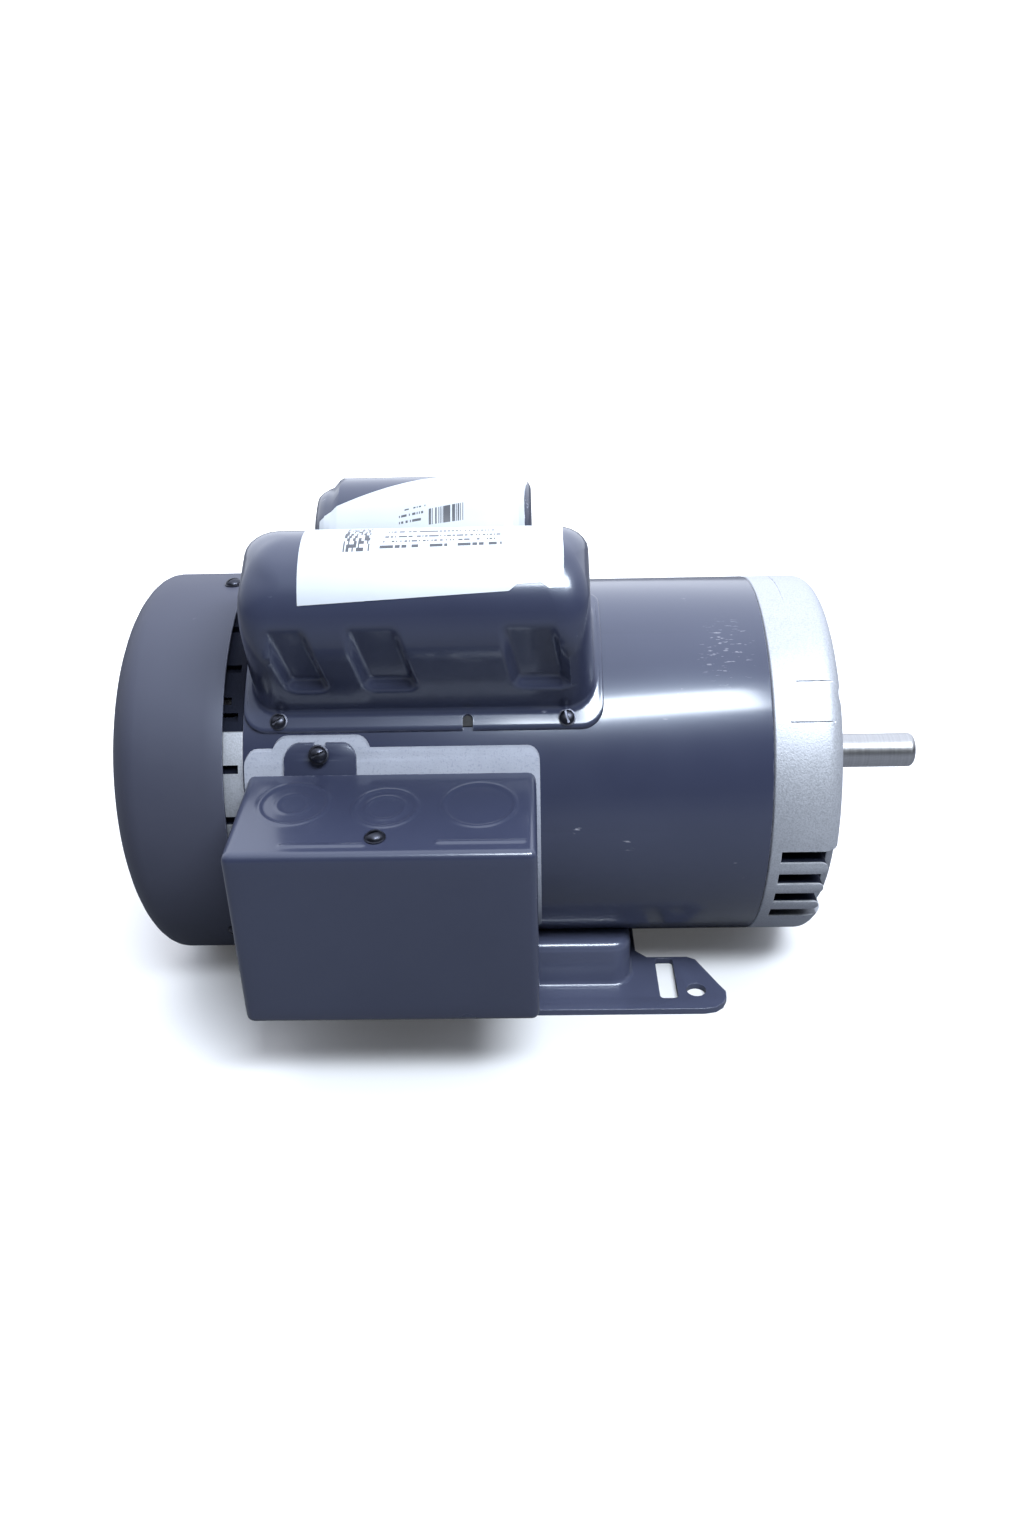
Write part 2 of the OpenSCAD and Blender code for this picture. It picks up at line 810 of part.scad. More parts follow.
// Helical tension springs that join the two weights' ends
spring_turns = 9;
spring_steps = 10;
spring_wire = 0.45;
spring_coil_r = 2;
spring_half = weight_inner - 0.3 - spring_wire;
function coil_point(i, k, r, w) =
  let (a = 360 * i / spring_steps, b = 60 * k, s = i / (spring_turns * spring_steps))
  [(r + w * cos(b)) * cos(a), (r + w * cos(b)) * sin(a), (2 * s - 1) * spring_half + w * sin(b)];

module coil_spring() {
  rings = spring_turns * spring_steps;
  points = [for (i = [0 : rings]) for (k = [0 : 5])
    coil_point(i, k, spring_coil_r, spring_wire)];
  faces = concat(
    [for (i = [0 : rings - 1]) for (k = [0 : 5])
      let (a = 6 * i + k, b = 6 * i + (k + 1) % 6)
      each [[a, a + 6, b + 6], [a, b + 6, b]]],
    [[0, 1, 2, 3, 4, 5]], [[for (k = [5 : -1 : 0]) 6 * rings + k]]);
  polyhedron(points = points, faces = faces);
}

module governor_springs() {
  color(bright_steel)
    for (side = [0, 180])
      around(side)
        translate([governor_x - 13.4, 0, 14])
          rotate([90, 0, 0])
            coil_spring();
}

module governor_collar() {
  color(phenolic)
    turned([[collar_x - 3, collar_seat_r + running_gap], [collar_x + 2, collar_seat_r + running_gap],
            [collar_x + 2, 14], [collar_x, 14], [collar_x, 25], [collar_x - 3, 25]]);
}

board_x = collar_x - 5.5;
board_r0 = 30;
board_r1 = 71;
arm_angle = 0;

module switch_board() {
  color(phenolic)
    union() {
      difference() {
        around(arm_angle)
          translate([board_x - 2, -22, board_r0])
            cube([2, 44, board_r1 - board_r0]);
        around(arm_angle)
          translate([board_x - 3, -4, 25])
            cube([4, 8, 20]);
      }
      for (y = [-18, 18])
        around(arm_angle)
          translate([shell_rear + fit_gap, y, board_r1 - 12])
            rotate([0, 90, 0])
              cylinder(h = board_x - 2 - shell_rear - fit_gap + 0.5, r = 4);
      for (y = [-7.6, 5.6])
        around(arm_angle)
          translate([board_x - 0.5, y, arm_pin_z - 1.5])
            cube([3.4, 2, 3]);
      around(arm_angle)
        translate([arm_pin_x, 7, arm_pin_z])
          rotate([90, 0, 0])
            cylinder(h = 14, r = arm_pin_r);
    }
}

arm_pin_z = 50;
arm_pin_x = board_x + 1.6;
arm_pin_r = 0.62;

module switch_arm() {
  color(black)
    difference() {
      union() {
        around(arm_angle)
          translate([board_x + 0.6, -5, 19])
            cube([1.6, 10, arm_pin_z - 19]);
        around(arm_angle)
          translate([board_x + 1, -5, 19])
            cube([1.3, 10, 4]);
        around(arm_angle)
          translate([board_x + 1.4, -16, arm_pin_z - 10])
            cube([1, 32, 4]);
        around(arm_angle)
          translate([arm_pin_x, 5, arm_pin_z])
            rotate([90, 0, 0])
              cylinder(h = 10, r = 1.3);
      }
      around(arm_angle)
        translate([arm_pin_x, 10, arm_pin_z])
          rotate([90, 0, 0])
            cylinder(h = 20, r = arm_pin_r + running_gap);
    }
}

module switch_contacts() {
  color(copper)
    for (y = [-14, 14])
      around(arm_angle) {
        translate([board_x, y - 2.5, arm_pin_z - 12])
          cube([0.6, 5, 24]);
        translate([board_x + 0.5, y, arm_pin_z - 8])
          rotate([0, 90, 0])
            cylinder(h = 0.7, r = 2);
      }
}

// ---------- capacitors and their covers ----------

module start_capacitor() {
  color(black)
    around(cover_tilt)
      translate([near_cover_x + 14, 0, shell_r + seat_gap + start_cap_r])
        rotate([0, 90, 0])
          union() {
            cylinder(h = start_cap_length, r = start_cap_r, $fn = 64);
            translate([0, 0, start_cap_length - past])
              cylinder(h = past + 1.5, r = start_cap_r - 2, $fn = 64);
          }
}

module run_capacitor() {
  color(aluminium)
    around(-cover_tilt)
      translate([far_cover_x + 16, 0, shell_r + seat_gap + run_cap_r])
        rotate([0, 90, 0])
          union() {
            cylinder(h = run_cap_length, r = run_cap_r, $fn = 64);
            translate([0, 0, run_cap_length - past])
              cylinder(h = past + 1.2, r = run_cap_r - 2, $fn = 64);
          }
}

module capacitor_tabs() {
  color(bright_steel) {
    around(cover_tilt)
      for (y = [-8, 8])
        translate([near_cover_x + 14 + start_cap_length + 1.5, y - 3, shell_r + seat_gap + start_cap_r])
          cube([8, 6, 0.8]);
    around(-cover_tilt)
      for (y = [-7, 7])
        translate([far_cover_x + 16 + run_cap_length + 1.2, y - 3, shell_r + seat_gap + run_cap_r])
          cube([8, 6, 0.8]);
  }
}

// Cross section of a cover's body: straight sides and a round crown, less an inset
module cover_section(top, inset) {
  crown = cover_width / 2 - inset;
  middle = top - cover_width / 2;
  translate([0, middle])
    circle(r = crown, $fn = 64);
  translate([-crown, shell_r - 15])
    square([2 * crown, middle - shell_r + 15]);
}

// Side outline of a cover's body, with leaning ends and rounded shoulders
module cover_profile(length, top, inset, lean) {
  radius = 14 - inset;
  polygon(rounded([[inset, shell_r - 15], [lean + inset, top - inset],
                   [length - lean - inset, top - inset], [length - inset, shell_r - 15]],
                  [0, radius, radius, 0], 6));
}

module cover_form(x0, length, top, inset, lean) {
  intersection() {
    translate([x0, 0, 0])
      rotate([90, 0, 90])
        linear_extrude(height = length)
          cover_section(top, inset);
    translate([x0, cover_width, 0])
      rotate([90, 0, 0])
        linear_extrude(height = 2 * cover_width)
          cover_profile(length, top, inset, lean);
  }
}

module flange_plan(x0, length, width, radius) {
  polygon(rounded([[x0, -width / 2], [x0 + length, -width / 2],
                   [x0 + length, width / 2], [x0, width / 2]],
                  [radius, radius, radius, radius], 6));
}

body_inset = 7;

// One drawn steel cover in its own upright frame on the shaft axis
module drawn_cover(x0, length, top, lean, stamped = false) {
  body_x = x0 + body_inset;
  body_length = length - 2 * body_inset + 4;
  difference() {
    union() {
      intersection() {
        linear_extrude(height = top)
          flange_plan(x0, length, flange_width, 9);
        rotate([0, 90, 0])
          translate([0, 0, x0 - past])
            difference() {
              cylinder(h = length + 2 * past, r = flange_r + cover_wall, $fn = 96);
              translate([0, 0, -past])
                cylinder(h = length + 4 * past, r = flange_r, $fn = 96);
            }
      }
      difference() {
        cover_form(body_x, body_length, top, 0, lean);
        rotate([0, 90, 0])
          translate([0, 0, x0 - past])
            cylinder(h = length + 2 * past, r = flange_r, $fn = 96);
        if (stamped)
          stamp_cutters(0);
      }
    }
    difference() {
      cover_form(body_x, body_length, top, cover_wall, lean);
      if (stamped)
        stamp_cutters(cover_wall);
    }
  }
}

// Screw places of a cover as [x, angle from the cover's middle] pairs
near_screws = [for (x = [near_cover_x + 14.7, near_cover_x + near_cover_length - 15])
  for (s = [1, -1]) [x, s * cover_screw_angle]];
far_screws = [for (x = [far_cover_x + 14.7, far_cover_x + far_cover_length - 15])
  for (s = [1, -1]) [x, s * cover_screw_angle]];
cap_screw_r = 2;

module cover_screw_holes(r0, r1) {
  for (p = near_screws)
    radial_pin(p.x, cover_tilt + p.y, r0, r1, cap_screw_r + 0.1);
  for (p = far_screws)
    radial_pin(p.x, -cover_tilt + p.y, r0, r1, cap_screw_r + 0.1);
}

// Stamped hollows in the near cover's lower side, as [start, length] along the shaft
stampings = [[10.5, 14], [40, 22], [102, 22]];
stamp_depth = 4;

module stamp_cutters(grow) {
  for (p = stampings)
    translate([near_cover_x + p.x - grow, -cover_width / 2 - past, 93 - grow])
      cube([p.y + 2 * grow, stamp_depth + past + grow, 30 + 2 * grow]);
}

module near_capacitor_cover() {
  color(enamel)
    difference() {
      around(cover_tilt)
        drawn_cover(near_cover_x, near_cover_length, near_cover_top, 5, true);
      cover_screw_holes(flange_r - past, flange_r + cover_wall + past);
      around(cover_tilt + cover_screw_angle)
        translate([near_notch_x - 2, -6, flange_r - past])
          cube([4, 5, 4]);
    }
}

module far_capacitor_cover() {
  color(enamel)
    difference() {
      around(-cover_tilt)
        drawn_cover(far_cover_x, far_cover_length, far_cover_top, 4);
      cover_screw_holes(flange_r - past, flange_r + cover_wall + past);
    }
}

module cover_gasket(tilt, x0, length) {
  inset = 1.5;
  around(tilt)
    difference() {
      intersection() {
        linear_extrude(height = shell_r + 10)
          flange_plan(x0 + inset, length - 2 * inset, flange_width - 2 * inset, 8);
        rotate([0, 90, 0])
          translate([0, 0, x0])
            difference() {
              cylinder(h = length, r = flange_r - fit_gap, $fn = 96);
              translate([0, 0, -past])
                cylinder(h = length + 2 * past, r = shell_r + fit_gap, $fn = 96);
            }
      }
      linear_extrude(height = shell_r + 10)
        flange_plan(x0 + 12, length - 24, flange_width - 20, 8);
    }
}

module capacitor_cover_gaskets() {
  color(black)
    difference() {
      union() {
        cover_gasket(cover_tilt, near_cover_x, near_cover_length);
        cover_gasket(-cover_tilt, far_cover_x, far_cover_length);
      }
      cover_screw_holes(shell_r - past, flange_r + past);
    }
}

// A short screw that ends flush with the shell's inner face
module cap_screw(x, angle) {
  seat = flange_r + cover_wall + seat_gap / 2;
  radial_screw(x, angle, seat, cap_screw_r, seat - shell_inner - 0.1, 3.1, 2.4);
}

module capacitor_cover_screws() {
  color(zinc) {
    for (p = near_screws)
      cap_screw(p.x, cover_tilt + p.y);
    for (p = far_screws)
      cap_screw(p.x, -cover_tilt + p.y);
  }
}

// A printed sheet wrapped over a cover's crown; the outline is [x, sideways] in the cover's frame
module wrapped_label(x0, length, top, outline) {
  thick = 0.2;
  intersection() {
    difference() {
      translate([x0, 0, 0])
        rotate([90, 0, 90])
          linear_extrude(height = length)
            cover_section(top, -wide_fit - thick);
      translate([x0 - past, 0, 0])
        rotate([90, 0, 90])
          linear_extrude(height = length + 2 * past)
            cover_section(top, -wide_fit);
    }
    translate([0, 0, top - cover_width / 2 - 3])
      linear_extrude(height = cover_width)
        polygon(outline);
  }
}

module near_cover_label() {
  x0 = near_cover_x + 31;
  low = near_cover_top - 7;
  high = near_cover_top - 4;
  color(paper)
    around(cover_tilt)
      intersection() {
        wrapped_label(x0, 100, near_cover_top, [[x0, -60], [x0 + 100, -60], [x0 + 96, 22], [x0, 22]]);
        translate([0, 60, 0])
          rotate([90, 0, 0])
            linear_extrude(height = 120)
              polygon([[x0, low], [x0 + 81, high], [x0 + 84, high + 1.2], [x0 + 92, high + 1.2],
                       [x0 + 94, high + 0.4], [x0 + 100, high], [x0 + 100, high + 20],
                       [x0, high + 20]]);
      }
}

module far_cover_label() {
  x0 = far_cover_x + 8;
  color(paper)
    around(-cover_tilt)
      wrapped_label(x0, 96, far_cover_top,
                    [[x0, -40], [x0 + 96, -40], [x0 + 96, 10], [x0 + 84, 8], [x0 + 68, -6],
                     [x0 + 44, -16], [x0, -26]]);
}

// ---------- conduit box ----------

ear_half = 17.5;
ear_screw_r = 2.4;
gasket_border = 2.5;

function under_axis(angle, r) = shaft_height + r * cos(angle);

// Plan of the box against the shell, with the ear on its upper edge, as [x, z] points
module box_plan(grow, low, high, ear_high) {
  x0 = box_x + 1 - grow;
  x1 = box_x + box_length - 1 + grow;
  polygon(rounded([[x0, low], [x1, low], [x1, high], [x0, high]], [3, 3, 5, 5], 5));
  polygon(rounded([[ear_mid - ear_half - grow, high - 12], [ear_mid + ear_half + grow, high - 12],
                   [ear_mid + ear_half + grow, ear_high], [ear_mid - ear_half - grow, ear_high]],
                  [0, 0, 6, 6], 6));
}

// A curved layer on the conduit box side of the shell, cut to a plan
module curved_layer(r0, r1) {
  intersection() {
    ring(shell_rear - 20, shell_front, r1, r0);
    rotate([90, 0, 0])
      linear_extrude(height = box_depth)
        children();
  }
}

box_floor_z = shaft_height - box_bottom;

module lead_window(r1) {
  radial_pin(lead_x, lead_hole_angle, shell_inner - past, r1, lead_hole_r + 3);
}

module conduit_box_gasket() {
  color(foam)
    difference() {
      curved_layer(box_gasket_r, box_base_r - fit_gap)
        box_plan(gasket_border, box_floor_z + 1, under_axis(60, box_base_r),
                 under_axis(56.5, box_base_r));
      lead_window(box_base_r + past);
      radial_pin(ear_mid, 61, shell_r - past, box_base_r + past, ear_screw_r + 0.1);
    }
}

base_plate = 1.4;
bracket_width = 16;
bracket_drop = 0.4;

module conduit_box_base() {
  color(enamel)
    difference() {
      union() {
        curved_layer(box_base_r, box_base_r + base_plate)
          box_plan(-box_wall - seat_gap - 1, box_floor_z + box_wall + 1.3,
                   roof_z(box_base_r) - box_wall - 1.3, under_axis(57.5, box_base_r));
        difference() {
          translate([box_screw.x - bracket_width / 2, -box_screw.y - 7,
                     roof_z(box_screw.y + 7) - box_wall - bracket_drop - 1.6])
            cube([bracket_width, box_screw.y + 7 - 60, 1.6]);
          round_bar(box_x, box_x + box_length, box_base_r + 0.5);
        }
      }
      lead_window(box_base_r + base_plate + past);
      radial_pin(ear_mid, 61, shell_r - past, box_base_r + base_plate + past,
                 ear_screw_r + 0.1);
      translate([box_screw.x, -box_screw.y, shaft_height])
        cylinder(h = 60, r = box_screw_r + 0.1);
      translate([ground_at.x, -box_base_r - 5, ground_at.y])
        rotate([-90, 0, 0])
          cylinder(h = 20, r = ground_r + 0.1);
    }
}

box_screw_r = 2;
ground_r = 2;
ground_at = [box_x + box_length - 18, shaft_height - 22];

// Height of the box's roof at a distance from the shaft axis
function roof_z(depth) = roof_front_z + (box_depth - depth) * tan(roof_slope);

module box_solid(inset, back) {
  front = box_depth - inset;
  radius = 3 - inset;
  intersection() {
    translate([box_x + inset, 0, 0])
      rotate([90, 0, 90])
        linear_extrude(height = box_length - 2 * inset)
          polygon(rounded([[-back, box_floor_z + inset], [-back, roof_z(back) - inset],
                           [-front, roof_z(front) - inset], [-front, box_floor_z + inset]],
                          [0, 0, radius, radius], 4));
    linear_extrude(height = 200)
      polygon(rounded([[box_x + inset, -back], [box_x + inset, -front],
                       [box_x + box_length - inset, -front], [box_x + box_length - inset, -back]],
                      [0, radius, radius, 0], 4));
  }
}

// Pressed knockout rings in the roof, as [x, distance from the shaft axis, radius]
knockouts = [[box_x + 21, 100, 14], [box_x + 58.5, 104, 11], [box_x + 93, 101, 14]];
ring_width = 0.8;
ring_depth = 0.5;

module conduit_box_cover() {
  color(enamel)
    difference() {
      box_solid(0, 45);
      box_solid(box_wall, 40);
      round_bar(box_x - past, box_x + box_length + past, box_base_r + seat_gap / 2);
      intersection() {
        round_bar(box_x - past, box_x + box_length + past, box_base_r + base_plate + seat_gap);
        translate([ear_mid - ear_half, -box_depth, shaft_height])
          cube([2 * ear_half + 4, box_depth, 60]);
      }
      translate([box_screw.x, -box_screw.y, shaft_height])
        cylinder(h = 60, r = box_screw_r + 0.3);
      for (k = knockouts)
        translate([k.x, -k.y, roof_z(k.y)])
          rotate([roof_slope, 0, 0])
            difference() {
              translate([0, 0, -ring_depth])
                cylinder(h = 3, r = k.z);
              translate([0, 0, -ring_depth - past])
                cylinder(h = 5, r = k.z - ring_width);
            }
    }
}

module conduit_box_screws() {
  color(zinc) {
    translate([box_screw.x, -box_screw.y, roof_z(box_screw.y) + 0.5])
      difference() {
        union() {
          translate([0, 0, -7])
            cylinder(h = 8, r = box_screw_r);
          cylinder(h = 1.4, r = 4);
          translate([0, 0, 1.4])
            cylinder(h = 1.2, r1 = 4, r2 = 2.2);
        }
        translate([-5, -0.5, 1.8])
          cube([10, 1, 3]);
      }
    radial_screw(ear_mid, 61, box_base_r + base_plate + 0.15, ear_screw_r, 8, 4.2, 3);
  }
}

board_plate = 3;
terminal_x = box_x + 75;
terminal_z = shaft_height - 16;
terminal_y = -box_base_r - base_plate - 6;

module terminal_board() {
  color(phenolic)
    difference() {
      union() {
        translate([terminal_x - 20, terminal_y - board_plate, terminal_z - 14])
          cube([40, board_plate, 34]);
        for (dx = [-16, 16])
          translate([terminal_x + dx, terminal_y - past, terminal_z + 14])
            rotate([-90, 0, 0])
              cylinder(h = 15, r = 3);
      }
      round_bar(box_x, box_x + box_length, box_base_r + base_plate + fit_gap);
    }
}

terminal_places = [for (dx = [-12, 0, 12]) for (dz = [-8, 3]) [dx, dz]];

module terminal_tabs() {
  color(copper)
    for (p = terminal_places)
      translate([terminal_x + p.x - 3.1, terminal_y - board_plate - 9, terminal_z + p.y])
        union() {
          cube([6.2, 9, 0.8]);
          translate([0, 8, -2])
            cube([6.2, 1, 4.8]);
        }
}

module ground_screw() {
  seat = sqrt(pow(box_base_r + base_plate, 2) - pow(ground_at.y - shaft_height, 2));
  color([0.25, 0.5, 0.3])
    translate([ground_at.x, 0, ground_at.y])
      rotate([90, 0, 0])
        union() {
          translate([0, 0, seat - 1])
            cylinder(h = 3, r = ground_r);
          translate([0, 0, seat + 1.8])
            cylinder(h = 2.5, r = 4.2);
        }
}

module lead_grommet() {
  color(black)
    around(lead_hole_angle)
      translate([lead_x, 0, 0])
        difference() {
          union() {
            translate([0, 0, shell_inner - 3.5])
              cylinder(h = 9, r = lead_hole_r - 0.1);
            translate([0, 0, shell_inner - 3.5])
              cylinder(h = 1.6, r = lead_hole_r + 2);
          }
          translate([0, 0, shell_inner - 4.5])
            cylinder(h = 12, r = lead_hole_r - 2.5);
        }
}

// Leads from the winding through the grommet to the terminals, swept along hand-set routes
lead_r = 1.4;
lead_sides = 8;
function lead_route(i) =
  let (x = lead_x, y = -shell_r, z = shaft_height + shell_r * cos(lead_hole_angle),
       p = terminal_places[2 * i + 1], out = i,
       ox = 5 - 5 * i, oz = [-2.5, 2.5, -2.5][i])
  [[x + ox, y + 9.1, z + oz], [x + ox, y + 2, z + oz], [x + ox, y - 8, z + oz],
   [x + ox + 2, y - 15 - 4 * out, z + oz + 3], [x + 11, y - 23 - 4 * out, z + 8 + 5 * out],
   [terminal_x + p.x - 8, terminal_y - 19 - 4 * out, terminal_z + p.y + 9 + 5 * out],
   [terminal_x + p.x, terminal_y - board_plate - 17, terminal_z + p.y + 2],
   [terminal_x + p.x, terminal_y - board_plate - 9.2, terminal_z + p.y + 0.4]];

// Catmull-Rom points along a route
function spline(p, steps) =
  let (n = len(p))
  concat([for (i = [0 : n - 2]) for (k = [0 : steps - 1])
    let (t = k / steps, a = p[max(i - 1, 0)], b = p[i], c = p[i + 1], d = p[min(i + 2, n - 1)])
    0.5 * (2 * b + (c - a) * t + (2 * a - 5 * b + 4 * c - d) * t * t
           + (3 * b - a - 3 * c + d) * t * t * t)], [p[n - 1]]);

module tube(path, r, sides) {
  n = len(path);
  rings = [for (i = [0 : n - 1])
    let (d = unit(path[min(i + 1, n - 1)] - path[max(i - 1, 0)]),
         u = unit(cross(d, [0.31, 0.2, 0.93])), v = cross(d, u))
    for (k = [0 : sides - 1])
      path[i] + r * (cos(360 * k / sides) * u + sin(360 * k / sides) * v)];
  faces = concat(
    [for (i = [0 : n - 2]) for (k = [0 : sides - 1])
      let (a = sides * i + k, b = sides * i + (k + 1) % sides)
      each [[a, b, b + sides], [a, b + sides, a + sides]]],
    [[for (k = [sides - 1 : -1 : 0]) k]],
    [[for (k = [0 : sides - 1]) sides * (n - 1) + k]]);
  polyhedron(points = rings, faces = faces);
}

module motor_leads() {
  color([0.75, 0.72, 0.66])
    for (i = [0 : 2])
      tube(spline(lead_route(i), 4), lead_r, lead_sides);
}

// ---------- foot ----------

plate_half_y = 83;
ear_inner_y = 45.5;
saddle_outer = 65.5;
saddle_inner = 37;
saddle_top = shaft_height - 62.9;
saddle_radius = 9;

module foot_outline() {
  tip = foot_hole_x / 2 + 13.5;
  root = saddle_half + 4;
  for (sx = [1, -1])
    for (sy = [1, -1])
      scale_corner(sx, sy)
        polygon(rounded([[-past, 0], [root, 0], [root, ear_inner_y], [tip - 11.5, ear_inner_y],
                         [tip, foot_hole_y / 2 + 1], [tip - 1, plate_half_y],
                         [-past, plate_half_y]],
                        [0, 0, 5, 6, 5, 10, 0], 6));
}

// Mirrors a flat shape into one of the four quarters
module scale_corner(sx, sy) {
  mirror([sx < 0 ? 1 : 0, 0])
    mirror([0, sy < 0 ? 1 : 0])
      children();
}

module saddle_block(inset, low, high) {
  translate([0, 0, low])
    linear_extrude(height = high - low)
      polygon(rounded([[-saddle_half + inset, saddle_inner + inset],
                       [saddle_half - inset, saddle_inner + inset],
                       [saddle_half - inset, saddle_outer - inset],
                       [-saddle_half + inset, saddle_outer - inset]],
                      [3, 3, saddle_radius - inset, saddle_radius - inset], 6));
}

module foot_cutouts() {
  for (sx = [1, -1])
    for (sy = [1, -1]) {
      translate([sx * foot_hole_x / 2, sy * foot_hole_y / 2, -past])
        cylinder(h = foot_sheet + 2 * past, r = foot_hole_r);
      translate([sx * foot_slot_x / 2, sy * foot_slot_y / 2, -past])
        linear_extrude(height = foot_sheet + 2 * past)
          foot_slot_shape();
    }
}

module foot_slot_shape() {
  radius = foot_slot_width / 2;
  half = foot_slot_length / 2 - radius;
  for (side = [1, -1])
    translate([0, side * half])
      circle(r = radius);
  translate([-radius, -half])
    square([foot_slot_width, 2 * half]);
}

module mounting_base() {
  color(enamel)
    difference() {
      union() {
        linear_extrude(height = foot_sheet)
          foot_outline();
        for (side = [0, 1])
          mirror([0, side, 0])
            saddle_block(0, 0, saddle_top);
      }
      round_bar(-200, 200, shell_r + 0.05);
      for (side = [0, 1])
        mirror([0, side, 0])
          difference() {
            saddle_block(foot_sheet, -past, saddle_top - foot_sheet);
            round_bar(-200, 200, shell_r + foot_sheet);
          }
      foot_cutouts();
    }
}

stator_shell();
stator_core();
main_winding();
start_winding();
slot_wedges();
rotor_core();
rotor_cage();
shaft();
drive_end_bell();
rear_end_bell();
through_bolts();
shaft_seal();
drive_bearing_outer_race();
drive_bearing_inner_race();
drive_bearing_balls();
drive_bearing_cage();
drive_bearing_shields();
rear_bearing_outer_race();
rear_bearing_inner_race();
rear_bearing_balls();
rear_bearing_cage();
rear_bearing_shields();
bearing_wave_spring();
cooling_fan();
fan_clip();
fan_cover();
fan_cover_screws();
governor_hub();
governor_weight_near();
governor_weight_far();
governor_springs();
governor_collar();
switch_board();
switch_arm();
switch_contacts();
start_capacitor();
run_capacitor();
capacitor_tabs();
near_capacitor_cover();
far_capacitor_cover();
capacitor_cover_gaskets();
capacitor_cover_screws();
near_cover_label();
far_cover_label();
conduit_box_base();
conduit_box_cover();
conduit_box_gasket();
conduit_box_screws();
terminal_board();
terminal_tabs();
ground_screw();
lead_grommet();
motor_leads();
mounting_base();
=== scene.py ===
import math
import bmesh
import bpy
from mathutils import Matrix, Vector, kdtree


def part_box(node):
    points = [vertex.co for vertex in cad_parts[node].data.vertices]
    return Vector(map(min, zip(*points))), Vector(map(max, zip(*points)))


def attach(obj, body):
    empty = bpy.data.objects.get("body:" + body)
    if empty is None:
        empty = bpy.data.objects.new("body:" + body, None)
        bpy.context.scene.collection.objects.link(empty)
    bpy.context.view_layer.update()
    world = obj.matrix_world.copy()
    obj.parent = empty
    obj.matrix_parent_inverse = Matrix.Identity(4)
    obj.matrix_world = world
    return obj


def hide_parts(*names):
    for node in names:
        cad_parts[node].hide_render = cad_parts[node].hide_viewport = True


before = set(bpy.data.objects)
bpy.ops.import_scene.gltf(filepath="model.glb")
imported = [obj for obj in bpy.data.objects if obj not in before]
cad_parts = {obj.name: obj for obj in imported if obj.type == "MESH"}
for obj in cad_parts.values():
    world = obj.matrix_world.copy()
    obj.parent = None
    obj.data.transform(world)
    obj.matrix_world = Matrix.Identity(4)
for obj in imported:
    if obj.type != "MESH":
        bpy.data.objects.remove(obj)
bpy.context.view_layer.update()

# ---------- Camera, floor and light ----------
# The motor stands on a pale seamless table, seen from the conduit box side and a little
# from above, under a broad white ceiling light with one long strip over the drive end.
mm = 0.001
shell_low, shell_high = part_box("stator_shell")
shell_r = (shell_high.y - shell_low.y) / 2
axis_z = (shell_high.z + shell_low.z) / 2
shell_rear = shell_low.x
shell_front = shell_high.x

camera_data = bpy.data.cameras.new("camera")
camera_data.lens = 27.2
camera_data.clip_start = 0.01
camera = bpy.data.objects.new("camera", camera_data)
bpy.context.scene.collection.objects.link(camera)
camera.location = (-0.0082, -0.4882, 0.3496)
view_yaw, view_pitch, view_roll = -0.02405, 0.50120, -0.02604
camera.rotation_euler = (Matrix.Rotation(-view_yaw, 3, "Z")
                         @ Matrix.Rotation(math.pi / 2 - view_pitch, 3, "X")
                         @ Matrix.Rotation(view_roll, 3, "Z")).to_euler()
bpy.context.scene.camera = camera
bpy.context.scene.view_settings.view_transform = "Standard"


def paint_of(name):
    """A new node material and its Principled shader."""
    material = bpy.data.materials.new(name)
    material.use_nodes = True
    return material, material.node_tree, material.node_tree.nodes["Principled BSDF"]


def add(tree, kind, links=(), **values):
    """A node with its values set; links are (socket name or number, source socket) pairs."""
    node = tree.nodes.new("ShaderNode" + kind)
    for key, value in values.items():
        if hasattr(node, key):
            setattr(node, key, value)
        else:
            node.inputs[key.replace("_", " ")].default_value = value
    for name, source in links:
        tree.links.new(source, node.inputs[name])
    return node


def product(tree, a, b):
    """Two values multiplied."""
    return add(tree, "Math", [(0, a), (1, b)], operation="MULTIPLY").outputs["Value"]


def seen_as(tree, unseen, seen, **kind):
    """One value or colour for the camera and another for the light that falls on the motor."""
    ray = add(tree, "LightPath")
    mix = add(tree, "Mix", [("Factor", ray.outputs["Is Camera Ray"])], **kind, B=seen)
    if isinstance(unseen, tuple):
        mix.inputs["A"].default_value = unseen
    else:
        tree.links.new(unseen, mix.inputs["A"])
    return mix.outputs["Result"]


bpy.ops.object.select_all(action="DESELECT")
bpy.ops.mesh.primitive_plane_add(size=60, location=(0, 0, 0))
floor = bpy.context.object
floor.name = "table"
table_paint, tree, shader = paint_of("table_paint")
shader.inputs["Roughness"].default_value = 0.75
table_tone = seen_as(tree, (0.14, 0.145, 0.16, 1), (0.86, 0.86, 0.87, 1), data_type="RGBA")
tree.links.new(table_tone, shader.inputs["Base Color"])
table_place = add(tree, "TexCoord")
table_reach = add(tree, "VectorMath", [(0, table_place.outputs["Object"])], operation="LENGTH")
table_glow = add(tree, "MapRange", [("Value", table_reach.outputs["Value"])],
                 From_Min=0.22, From_Max=0.9, To_Min=0.06, To_Max=0.9)
table_seen = add(tree, "LightPath")
tree.links.new(product(tree, table_glow.outputs["Result"], table_seen.outputs["Is Camera Ray"]),
               shader.inputs["Emission Strength"])
shader.inputs["Emission Color"].default_value = (1, 1, 1, 1)
floor.data.materials.append(table_paint)

